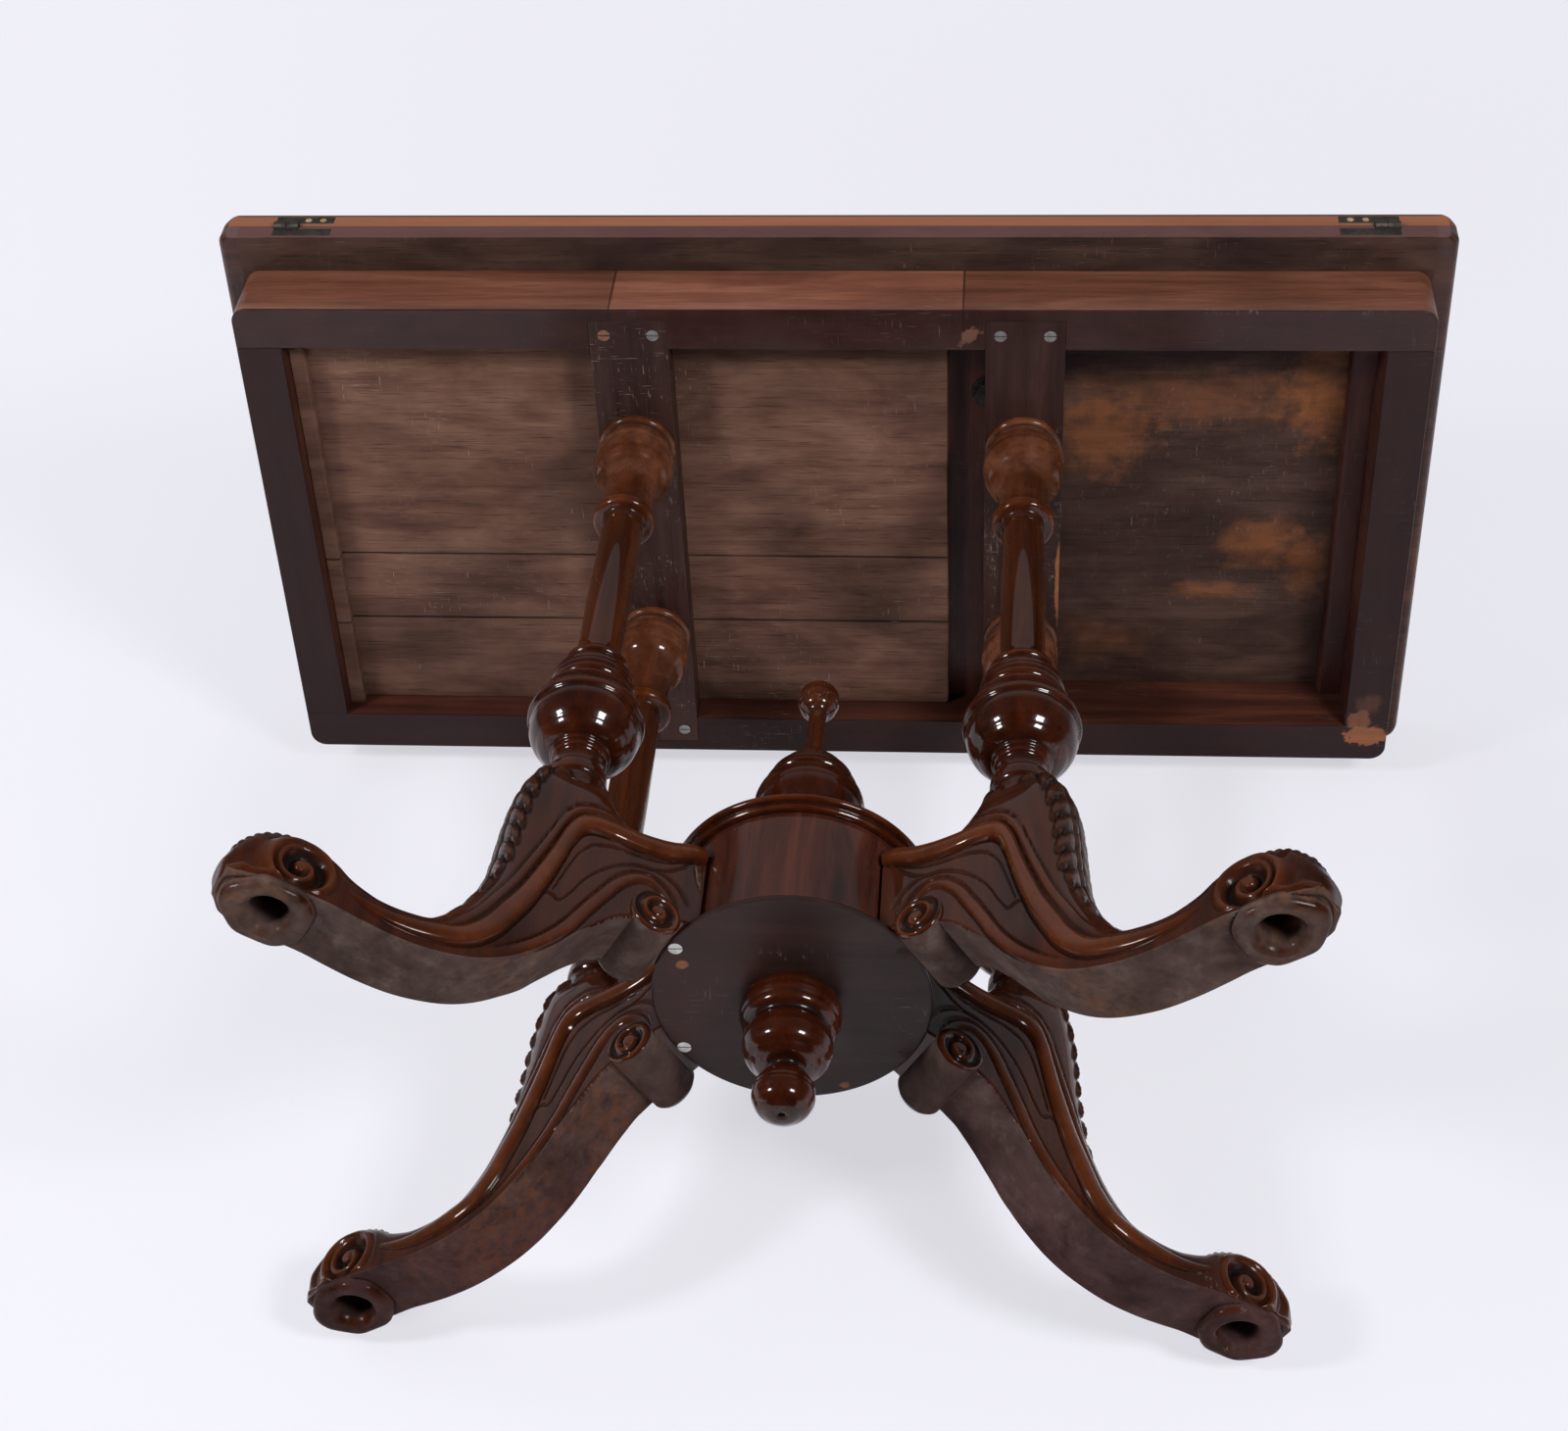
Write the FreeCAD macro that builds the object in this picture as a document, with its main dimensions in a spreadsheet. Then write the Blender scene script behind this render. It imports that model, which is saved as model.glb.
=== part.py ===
"""A fold-over card table on four turned columns and four scrolled legs, without its castors.

The frame stands upright: +Z up from the floor under the feet, +X along the table's length and +Y
towards the edge where the two leaves are hinged. Left and right are as seen from the front, at -Y.
All sizes are millimetres and degrees, and every piece is worked out from the sheet named sizes.
"""
import FreeCAD, Part
import os
import re
import Sketcher

SIZES = {
    # The two leaves and their edges.
    "leaf_length": 914,
    "leaf_depth": 478,
    "leaf_thickness": 15.6,
    "leaf_gap": 0.4,
    "moulding_width": 16,
    "leaf_corner": 14,
    "baize_border": 46,
    "baize_hinge_border": 24,
    "baize_thickness": 1,
    "baize_inset": 0.3,
    # The hinges between the leaves.
    "hinge_from_end": 42,
    "hinge_plate_length": 44,
    "hinge_plate_height": 9.6,
    "hinge_plate_depth": 2,
    "hinge_web_lap": 1,
    "knuckle_length": 9,
    "knuckle_radius": 3.4,
    "knuckle_clearance": 0.4,
    "pin_radius": 1.5,
    "pin_clearance": 0.04,
    # The frame under the leaves, with its well.
    "frame_end_inset": 18,
    "frame_side_inset": 28,
    "frame_gap": 0.4,
    "frame_corner": 12,
    "rail_height": 55,
    "rail_thickness": 34,
    "well_floor_recess": 24,
    "well_floor_thickness": 10,
    "back_board_width": 206.5,
    "front_board_width": 83.5,
    "board_gap": 0.3,
    "ledger_width": 12,
    "ledger_height": 9,
    "well_from_pivot": 31.5,
    "pivot_rail_width": 62,
    "pivot_rail_lap": 12,
    # The swivel of the top.
    "pivot_plate_side": 70,
    "pivot_plate_thickness": 3,
    "pivot_radius": 6,
    "pivot_clearance": 0.06,
    "pivot_head_radius": 10,
    "pivot_head_height": 4,
    "pivot_end_play": 0.3,
    "washer_radius": 14,
    "washer_thickness": 1.5,
    "nut_corner_radius": 12,
    "nut_height": 6,
    "pivot_tail": 0.8,
    # The two bearers and the turned columns.
    "bearer_width": 58,
    "bearer_end": 10,
    "column_reach": 171,
    "leg_angle": 32,
    "column_height": 389,
    "column_tenon_radius": 9,
    "column_tenon_length": 18,
    "tenon_clearance": 0.05,
    "collar_radius": 20.5,
    "collar_height": 12,
    "collar_round": 3.5,
    "foot_neck_radius": 15,
    "foot_neck_height": 14,
    "ball_radius": 39,
    "ball_lower_height": 31,
    "ball_upper_height": 25,
    "ball_rim_radius": 31,
    "ball_rim_height": 6,
    "ball_cove_radius": 20,
    "ball_cove_height": 10,
    "bead_radius": 27,
    "bead_height": 26,
    "shaft_radius": 15,
    "neck_ring_radius": 22,
    "neck_ring_height": 11,
    "neck_ring_round": 3,
    "cup_foot_radius": 18,
    "cup_radius": 29.5,
    "cup_height": 78,
    "cup_round": 7,
    "cup_band": 22,
    # The drum between the legs, with its rim, disc, finial and pendant.
    "disc_radius": 90.5,
    "disc_thickness": 9,
    "disc_height": 116,
    "drum_radius": 80,
    "drum_height": 83,
    "rim_radius": 88,
    "rim_thickness": 10,
    "rim_round": 2.4,
    "finial_tenon_radius": 10,
    "finial_tenon_length": 24,
    "finial_foot_radius": 24,
    "finial_foot_height": 9,
    "finial_waist_radius": 17,
    "finial_waist_height": 26,
    "bulb_radius": 38,
    "bulb_lower_height": 44,
    "bulb_lower_round": 6,
    "bulb_edge_radius": 31,
    "bulb_upper_height": 20,
    "bulb_upper_round": 3,
    "finial_shoulder_height": 36,
    "finial_shoulder_round": 6,
    "finial_stem_radius": 6.3,
    "finial_stem_height": 50,
    "finial_ball_radius": 14.5,
    "pendant_collar_radius": 32.4,
    "pendant_collar_height": 17,
    "pendant_collar_round": 4.5,
    "pendant_waist_radius": 24,
    "pendant_bulb_radius": 29,
    "pendant_bulb_lower_height": 23,
    "pendant_bulb_upper_height": 17,
    "pendant_neck_radius": 10,
    "pendant_neck_height": 7,
    "pendant_ball_radius": 19.8,
    # The legs, as radius from the table's middle and height above the floor.
    "leg_width": 48,
    "knee_height": 215,
    "knee_seat_inner": 150,
    "knee_seat_outer": 192,
    "leg_root_top": 196,
    "leg_saddle_reach": 136,
    "leg_saddle_height": 187,
    "leg_saddle_dip": 4,
    "ankle_reach": 213,
    "ankle_height": 105,
    "knee_round": 9,
    "instep_reach": 254,
    "instep_height": 39,
    "ankle_hollow": 9,
    "toe_reach": 304,
    "toe_height": 41,
    "instep_dip": 6,
    "foot_top_reach": 338,
    "foot_top_height": 52,
    "foot_rise": 3,
    "foot_nose_reach": 376,
    "foot_nose_height": 14,
    "foot_nose_round": 9,
    "pad_outer_reach": 371,
    "pad_inner_reach": 315,
    "pad_step": 5,
    "sole_inner_reach": 250,
    "sole_dip": 2,
    "calf_reach": 178,
    "calf_height": 44,
    "calf_round": 8,
    "scroll_reach": 111,
    "scroll_height": 113,
    "scroll_radius": 17,
    "scroll_step_reach": 133,
    "scroll_step_height": 103,
    "leg_root_clearance": 0.3,
    "socket_reach": 340.5,
    "socket_radius": 7.5,
    "socket_depth": 30,
    "socket_mouth_radius": 13,
    "socket_mouth_depth": 5,
    "dowel_radius": 5,
    "dowel_length": 44,
    "lower_dowel_height": 150,
    "upper_dowel_height": 176,
    # Slotted wood screws.
    "screw_head_radius": 4.6,
    "screw_head_height": 2.6,
    "screw_shank_radius": 2.2,
    "screw_length": 23,
    "short_screw_length": 9,
    "short_screw_scale": 0.55,
    "screw_slot_width": 0.9,
    "screw_slot_depth": 0.9,
    "screw_clearance": 0.05,
    "bearer_screw_spread": 36,
    "bearer_screw_inset": 12,
    "disc_screw_reach": 85,
}

# Heights and places that several pieces share, written in the sheet's words.
FRAME_BOTTOM = "(knee_height + column_height)"
FRAME_TOP = f"({FRAME_BOTTOM} + rail_height)"
FLOOR_BOTTOM = f"({FRAME_BOTTOM} + well_floor_recess)"
FLOOR_TOP = f"({FLOOR_BOTTOM} + well_floor_thickness)"
LOWER_BOTTOM = f"({FRAME_TOP} + frame_gap)"
LOWER_TOP = f"({LOWER_BOTTOM} + leaf_thickness)"
UPPER_BOTTOM = f"({LOWER_TOP} + leaf_gap)"
HINGE_HEIGHT = f"({LOWER_TOP} + leaf_gap / 2)"
KNUCKLE_PAIR = "(2 * knuckle_length + knuckle_clearance)"
HINGE_DROP = "(knuckle_radius + knuckle_clearance)"
HINGE_LINE = "(leaf_depth / 2 + leaf_gap / 2)"
PIVOT_X = "(-leaf_depth / 4)"
PIVOT_Y = "(leaf_depth / 4)"
FRAME_LENGTH = "(leaf_length - 2 * frame_end_inset)"
FRAME_DEPTH = "(leaf_depth - 2 * frame_side_inset)"
INNER_LENGTH = f"({FRAME_LENGTH} - 2 * rail_thickness)"
INNER_DEPTH = f"({FRAME_DEPTH} - 2 * rail_thickness)"
WELL_END = f"({PIVOT_X} + well_from_pivot)"
COLUMN_X = "(column_reach * cos(leg_angle))"
COLUMN_Y = "(column_reach * sin(leg_angle))"
DRUM_BOTTOM = "(disc_height + disc_thickness)"
DRUM_TOP = f"({DRUM_BOTTOM} + drum_height)"
RIM_TOP = f"({DRUM_TOP} + rim_thickness)"
CORNERS = {
    "front_left": (-1, -1),
    "front_right": (1, -1),
    "back_left": (-1, 1),
    "back_right": (1, 1),
}
SIDES = {"left": -1, "right": 1}
QUARTER_ROUND = "(1 - sqrt(0.5))"
X_AXIS = FreeCAD.Vector(1, 0, 0)
Y_AXIS = FreeCAD.Vector(0, 1, 0)

doc = FreeCAD.newDocument("fold_over_table")
sheet = doc.addObject("Spreadsheet::Sheet", "sizes")
for row, (alias, size) in enumerate(SIZES.items(), start=1):
    sheet.set(f"A{row}", str(size))
    sheet.setAlias(f"A{row}", alias)
doc.recompute()
sub_parts = []


def bind(text):
    """Name the sheet in front of each of its words in an expression."""
    return re.sub(r"[a-z_]+", lambda word: f"sizes.{word[0]}" if word[0] in SIZES else word[0], text)


def value(text):
    """The number that an expression has now."""
    return float(sheet.evalExpression(bind(text)))


def bind_sizes(thing, **texts):
    for name, text in texts.items():
        thing.setExpression(name, bind(text))
    return thing


def place(thing, x="0", y="0", z="0", turn=None):
    """Put a piece at a point worked out from the sheet, turned about its own axis if asked."""
    for name, text in zip("xyz", (x, y, z)):
        thing.setExpression(f"Placement.Base.{name}", bind(text))
    if turn is not None:
        thing.setExpression("Placement.Rotation.Angle", bind(turn))
    return thing


def box(name, length, width, height, x, y, z):
    """A block whose lowest corner is at x, y, z."""
    block = doc.addObject("Part::Box", name)
    bind_sizes(block, Length=length, Width=width, Height=height)
    return place(block, x, y, z)


def cylinder(name, radius, height, x="0", y="0", z="0", axis=None, turn="90"):
    """A rod that starts at x, y, z and runs up, or along another way by a turn about an axis."""
    rod = doc.addObject("Part::Cylinder", name)
    bind_sizes(rod, Radius=radius, Height=height)
    if axis is None:
        return place(rod, x, y, z)
    rod.Placement = FreeCAD.Placement(FreeCAD.Vector(), FreeCAD.Rotation(axis, value(turn)))
    return place(rod, x, y, z, turn)


def fuse(name, pieces):
    joined = doc.addObject("Part::MultiFuse", name)
    joined.Shapes = pieces
    return joined


def cut(name, base, tools):
    """The base with all the tools taken out of it."""
    result = doc.addObject("Part::Cut", name)
    result.Base = base
    result.Tool = tools[0] if len(tools) == 1 else fuse(f"{name}_tools", tools)
    return result


def group(name, pieces):
    """Several separate solids in one sub-part."""
    bundle = doc.addObject("Part::Compound", name)
    bundle.Links = pieces
    return bundle


def keep(name, thing):
    """Make a thing a sub-part: its label names its file."""
    thing.Label = name
    sub_parts.append(thing)
    return thing


def outline(body, plane, corners):
    """A closed sketch through corners given anticlockwise as x, y and, after an arc, its bulge outwards."""
    sketch = body.newObject("Sketcher::SketchObject", f"{body.Name}_outline")
    origin_plane = [part for part in body.Origin.OriginFeatures if part.Role == plane][0]
    sketch.AttachmentSupport = [(origin_plane, "")]
    sketch.MapMode = "FlatFace"
    points = [FreeCAD.Vector(value(corner[0]), value(corner[1]), 0) for corner in corners]
    ends = []
    for index, corner in enumerate(corners):
        start = points[index - 1]
        end = points[index]
        bulge = value(corner[2]) if len(corner) == 3 else 0
        if not bulge:
            edge = sketch.addGeometry(Part.LineSegment(start, end))
        else:
            chord = end - start
            side = FreeCAD.Vector(chord.y, -chord.x, 0).normalize()
            middle = (start + end) * 0.5 + side * bulge
            first, last = (start, end) if bulge > 0 else (end, start)
            edge = sketch.addGeometry(Part.Arc(first, middle, last))
        ends.append((edge, 1, 2) if bulge >= 0 else (edge, 2, 1))
    for index, corner in enumerate(corners):
        edge, start_end, far_end = ends[index]
        next_edge, next_start, next_far = ends[(index + 1) % len(ends)]
        sketch.addConstraint(Sketcher.Constraint("Coincident", edge, far_end, next_edge, next_start))
        for kind, axis, text in (("DistanceX", -2, corner[0]), ("DistanceY", -1, corner[1])):
            distance = value(text)
            if abs(distance) < 1e-9:
                sketch.addConstraint(Sketcher.Constraint("PointOnObject", edge, far_end, axis))
            else:
                held = sketch.addConstraint(Sketcher.Constraint(kind, -1, 1, edge, far_end, distance))
                sketch.setExpression(f"Constraints[{held}]", bind(text))
        if len(corner) == 3:
            before = corners[index - 1]
            rise = corner[2] if value(corner[2]) > 0 else f"(-({corner[2]}))"
            chord = f"((({corner[0]}) - ({before[0]}))^2 + (({corner[1]}) - ({before[1]}))^2)"
            radius = f"{chord} / (8 * ({rise})) + ({rise}) / 2"
            held = sketch.addConstraint(Sketcher.Constraint("Radius", edge, value(radius)))
            sketch.setExpression(f"Constraints[{held}]", bind(radius))
    return sketch


def pad(name, plane, corners, length, symmetric=False):
    """A board of constant thickness with the given outline."""
    body = doc.addObject("PartDesign::Body", name)
    sketch = outline(body, plane, corners)
    feature = body.newObject("PartDesign::Pad", f"{name}_pad")
    feature.Profile = sketch
    feature.SideType = "Symmetric" if symmetric else "One side"
    bind_sizes(feature, Length=length)
    return body


def turned(name, corners):
    """A piece turned on the lathe: the outline of radius and height spun about the upright axis."""
    body = doc.addObject("PartDesign::Body", name)
    sketch = outline(body, "XZ_Plane", corners)
    feature = body.newObject("PartDesign::Revolution", f"{name}_turning")
    feature.Profile = sketch
    feature.ReferenceAxis = (sketch, ["V_Axis"])
    feature.Angle = 360
    return body


def round_to_widest(across, along):
    """The bulge of an arc that swells by one distance over another and ends upright at its widest."""
    square = f"({across}^2 + {along}^2)"
    radius = f"({square} / (2 * {across}))"
    return f"{radius} - sqrt({radius}^2 - {square} / 4)"


def sphere_bulge(radius, across, along):
    """The bulge of an arc of a ball over a stretch that goes so far across and along."""
    return f"{radius} - sqrt({radius}^2 - ({across}^2 + {along}^2) / 4)"


def screw_blank(name, spare, scale, length):
    """A countersunk head on a shank, driven downwards from the origin, all round larger by a clearance."""
    head_height = f"(screw_head_height * {scale})"
    shank_radius = f"(screw_shank_radius * {scale} + {spare})"
    head = doc.addObject("Part::Cone", f"{name}_head")
    head_radius = f"screw_head_radius * {scale} + {spare}"
    bind_sizes(head, Radius1=shank_radius, Radius2=head_radius, Height=head_height)
    place(head, z=f"-{head_height}")
    shank_length = f"{length} - {head_height} + {spare}"
    shank = cylinder(f"{name}_shank", shank_radius, shank_length, z=f"-({length}) - {spare}")
    return fuse(f"{name}_blank", [head, shank])


def drive(shape, x, y, z, turn):
    """Put a screw, or its hole, with its head flush at x, y, z, turned over about the X axis."""
    shape.Placement = FreeCAD.Placement(FreeCAD.Vector(), FreeCAD.Rotation(X_AXIS, value(turn)))
    return place(shape, x, y, z, turn)


def screw_hole(name, x, y, z, turn="180", scale="1", length="screw_length"):
    return drive(screw_blank(f"{name}_hole", "screw_clearance", scale, length), x, y, z, turn)


def screw(name, x, y, z, turn="180", scale="1", length="screw_length"):
    """A slotted screw and the hole that it needs."""
    blank = screw_blank(name, "0", scale, length)
    slot_length = f"(3 * screw_head_radius * {scale})"
    slot_width = f"(screw_slot_width * {scale})"
    slot_depth = f"(screw_slot_depth * {scale})"
    slot = box(
        f"{name}_slot",
        slot_length,
        slot_width,
        f"2 * {slot_depth}",
        f"-{slot_length} / 2",
        f"-{slot_width} / 2",
        f"-{slot_depth}",
    )
    made = drive(cut(f"{name}_slotted", blank, [slot]), x, y, z, turn)
    return made, screw_hole(name, x, y, z, turn, scale, length)


def leaf_moulding(name, bottom):
    """The strip round a leaf's front and ends, with rounded front corners."""
    corners = [
        ("0", "leaf_corner"),
        ("leaf_corner", "0", f"leaf_corner * {QUARTER_ROUND}"),
        ("leaf_length - leaf_corner", "0"),
        ("leaf_length", "leaf_corner", f"leaf_corner * {QUARTER_ROUND}"),
        ("leaf_length", "leaf_depth"),
        ("leaf_length - moulding_width", "leaf_depth"),
        ("leaf_length - moulding_width", "moulding_width"),
        ("moulding_width", "moulding_width"),
        ("moulding_width", "leaf_depth"),
        ("0", "leaf_depth"),
    ]
    body = pad(name, "XY_Plane", corners, "leaf_thickness")
    return keep(name, place(body, "-leaf_length / 2", "-leaf_depth / 2", bottom))


def leaf_panel(name, bottom, tools):
    panel = box(
        f"{name}_panel",
        "leaf_length - 2 * moulding_width",
        "leaf_depth - moulding_width",
        "leaf_thickness",
        "moulding_width - leaf_length / 2",
        "moulding_width - leaf_depth / 2",
        bottom,
    )
    return keep(name, cut(name, panel, tools))


def baize(name, bottom):
    """The cloth, let into the leaf's inner face a little below its border."""
    return box(
        name,
        "leaf_length - 2 * baize_border",
        "leaf_depth - baize_border - baize_hinge_border",
        "baize_thickness",
        "baize_border - leaf_length / 2",
        "baize_border - leaf_depth / 2",
        bottom,
    )


def hinge_places(side):
    """Where one hinge lies along the leaf: its plate's low end and its two knuckles' low ends."""
    outer = "(leaf_length / 2 - hinge_from_end)"
    inner = f"({outer} - hinge_plate_length)"
    if side > 0:
        return inner, f"({outer} - {KNUCKLE_PAIR})", f"({outer} - knuckle_length)"
    return f"(-{outer})", f"(-{outer})", f"(-{outer} + knuckle_length + knuckle_clearance)"


def hinge_plate(name, x, knuckle_x, upper):
    """A plate with the knuckle that the pin goes through, and what seats it in a leaf's back edge."""
    if upper:
        low = f"({HINGE_HEIGHT} + {HINGE_DROP})"
        web_low = HINGE_HEIGHT
    else:
        low = f"({HINGE_HEIGHT} - {HINGE_DROP} - hinge_plate_height)"
        web_low = f"({HINGE_HEIGHT} - {HINGE_DROP} - hinge_web_lap)"
    back = "(leaf_depth / 2 - hinge_plate_depth)"
    size = ("hinge_plate_length", "hinge_plate_depth", "hinge_plate_height")
    plate = box(f"{name}_plate", *size, x, back, low)
    recess = box(f"{name}_recess", *size, x, back, low)
    web_size = ("knuckle_length", "hinge_plate_depth", f"{HINGE_DROP} + hinge_web_lap")
    web = box(f"{name}_web", *web_size, knuckle_x, back, web_low)
    web_recess = box(f"{name}_web_recess", *web_size, knuckle_x, back, web_low)
    knuckle = cylinder(
        f"{name}_knuckle", "knuckle_radius", "knuckle_length", knuckle_x, HINGE_LINE, HINGE_HEIGHT, Y_AXIS
    )
    bore = cylinder(
        f"{name}_bore",
        "pin_radius + pin_clearance",
        "knuckle_length",
        knuckle_x,
        HINGE_LINE,
        HINGE_HEIGHT,
        Y_AXIS,
    )
    solid = fuse(f"{name}_solid", [plate, web, knuckle])
    return cut(f"{name}_bored", solid, [bore]), [recess, web_recess]


def make_hinges():
    """Both hinges: plates, pins and screws, and what they take out of each leaf."""
    screws = {"lower": [], "upper": []}
    recesses = {"lower": [], "upper": []}
    for side_name, side in SIDES.items():
        plate_x, first_knuckle, second_knuckle = hinge_places(side)
        for level, knuckle_x in (("lower", first_knuckle), ("upper", second_knuckle)):
            name = f"{side_name}_hinge_{level}_plate"
            plate, seats = hinge_plate(name, plate_x, knuckle_x, level == "upper")
            clearance = cylinder(
                f"{name}_notch",
                "knuckle_radius + knuckle_clearance",
                f"{KNUCKLE_PAIR} + 2 * knuckle_clearance",
                f"{first_knuckle} - knuckle_clearance",
                HINGE_LINE,
                HINGE_HEIGHT,
                Y_AXIS,
            )
            recesses[level] += seats + [clearance]
            height = f"{HINGE_DROP} + hinge_plate_height / 2"
            screw_z = f"{HINGE_HEIGHT} + {height}" if level == "upper" else f"{HINGE_HEIGHT} - ({height})"
            holes = []
            for part in ("0.2", "0.45"):
                reach = f"hinge_plate_length * {part}"
                screw_x = f"{plate_x} + {reach}" if side > 0 else f"{plate_x} + hinge_plate_length - {reach}"
                made, hole = screw(
                    f"{name}_screw_{len(screws[level])}",
                    screw_x,
                    "leaf_depth / 2",
                    screw_z,
                    "-90",
                    "short_screw_scale",
                    "short_screw_length",
                )
                screws[level].append(made)
                holes.append(hole)
            recesses[level] += holes
            keep(name, cut(f"{name}_drilled", plate, holes))
        pin = cylinder(
            f"{side_name}_hinge_pin",
            "pin_radius",
            KNUCKLE_PAIR,
            first_knuckle,
            HINGE_LINE,
            HINGE_HEIGHT,
            Y_AXIS,
        )
        keep(f"{side_name}_hinge_pin", pin)
    for level in ("lower", "upper"):
        keep(f"hinge_screws_{level}", group(f"hinge_screws_{level}", screws[level]))
    return recesses


def make_pivot():
    """The bolt that the top swivels on, with its plate, and what they take out of the leaf."""
    side = "pivot_plate_side"
    plate = box(
        "pivot_plate_blank",
        side,
        side,
        "pivot_plate_thickness",
        f"{PIVOT_X} - {side} / 2",
        f"{PIVOT_Y} - {side} / 2",
        LOWER_BOTTOM,
    )
    recess = box(
        "pivot_plate_recess",
        side,
        side,
        "pivot_plate_thickness",
        f"{PIVOT_X} - {side} / 2",
        f"{PIVOT_Y} - {side} / 2",
        LOWER_BOTTOM,
    )
    plate_top = f"({LOWER_BOTTOM} + pivot_plate_thickness)"
    washer_top = f"({FLOOR_TOP} - pivot_end_play)"
    nut_top = f"({washer_top} - washer_thickness)"
    tail = f"({nut_top} - nut_height - pivot_tail)"

    def round_the_pivot(name, radius, height, z):
        return cylinder(name, radius, height, PIVOT_X, PIVOT_Y, z)

    head = round_the_pivot("pivot_head", "pivot_head_radius", "pivot_head_height", plate_top)
    head_recess = round_the_pivot("pivot_head_recess", "pivot_head_radius", "pivot_head_height", plate_top)
    shank = round_the_pivot("pivot_shank", "pivot_radius", f"{plate_top} - {tail}", tail)
    keep("pivot_bolt", fuse("pivot_bolt", [head, shank]))
    snug = "pivot_radius + tenon_clearance"
    washer = round_the_pivot("pivot_washer_blank", "washer_radius", "washer_thickness", nut_top)
    washer_hole = round_the_pivot("pivot_washer_hole", snug, "washer_thickness", nut_top)
    keep("pivot_washer", cut("pivot_washer", washer, [washer_hole]))
    nut = doc.addObject("Part::Prism", "pivot_nut_blank")
    nut.Polygon = 6
    bind_sizes(nut, Circumradius="nut_corner_radius", Height="nut_height")
    place(nut, PIVOT_X, PIVOT_Y, f"{nut_top} - nut_height")
    nut_hole = round_the_pivot("pivot_nut_hole", snug, "nut_height", f"{nut_top} - nut_height")
    keep("pivot_nut", cut("pivot_nut", nut, [nut_hole]))
    plate_hole = round_the_pivot("pivot_plate_hole", snug, "pivot_plate_thickness", LOWER_BOTTOM)
    screws = []
    holes = []
    for name, (side_x, side_y) in CORNERS.items():
        made, hole = screw(
            f"pivot_screw_{name}",
            f"{PIVOT_X} + {side_x} * {side} * 0.36",
            f"{PIVOT_Y} + {side_y} * {side} * 0.36",
            LOWER_BOTTOM,
            "180",
            "short_screw_scale",
            "short_screw_length",
        )
        screws.append(made)
        holes.append(hole)
    keep("pivot_plate", cut("pivot_plate", plate, [plate_hole] + holes))
    keep("pivot_plate_screws", group("pivot_plate_screws", screws))
    return [recess, head_recess] + holes


def make_leaves():
    """The hinged pair of leaves: panels, edge mouldings and cloth."""
    recesses = make_hinges()
    cloth_drop = "(baize_inset + baize_thickness)"
    lower_cloth = f"({LOWER_TOP} - {cloth_drop})"
    upper_cloth = f"({UPPER_BOTTOM} + baize_inset)"
    for level, bottom, cloth, recess_low in (
        ("lower", LOWER_BOTTOM, lower_cloth, lower_cloth),
        ("upper", UPPER_BOTTOM, upper_cloth, UPPER_BOTTOM),
    ):
        recess = baize(f"{level}_leaf_recess", recess_low)
        bind_sizes(recess, Height=cloth_drop)
        tools = [recess] + recesses[level]
        if level == "lower":
            tools += make_pivot()
        leaf_panel(f"{level}_leaf", bottom, tools)
        leaf_moulding(f"{level}_leaf_moulding", bottom)
        keep(f"{level}_leaf_baize", baize(f"{level}_leaf_baize", cloth))


def bearer_box(name, side):
    """One bearer across the frame under the columns' tops, with its ends let into the rails."""
    return box(
        name,
        "bearer_width",
        f"{FRAME_DEPTH} - 2 * bearer_end",
        "well_floor_recess",
        f"{side} * {COLUMN_X} - bearer_width / 2",
        f"bearer_end - {FRAME_DEPTH} / 2",
        FRAME_BOTTOM,
    )


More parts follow.
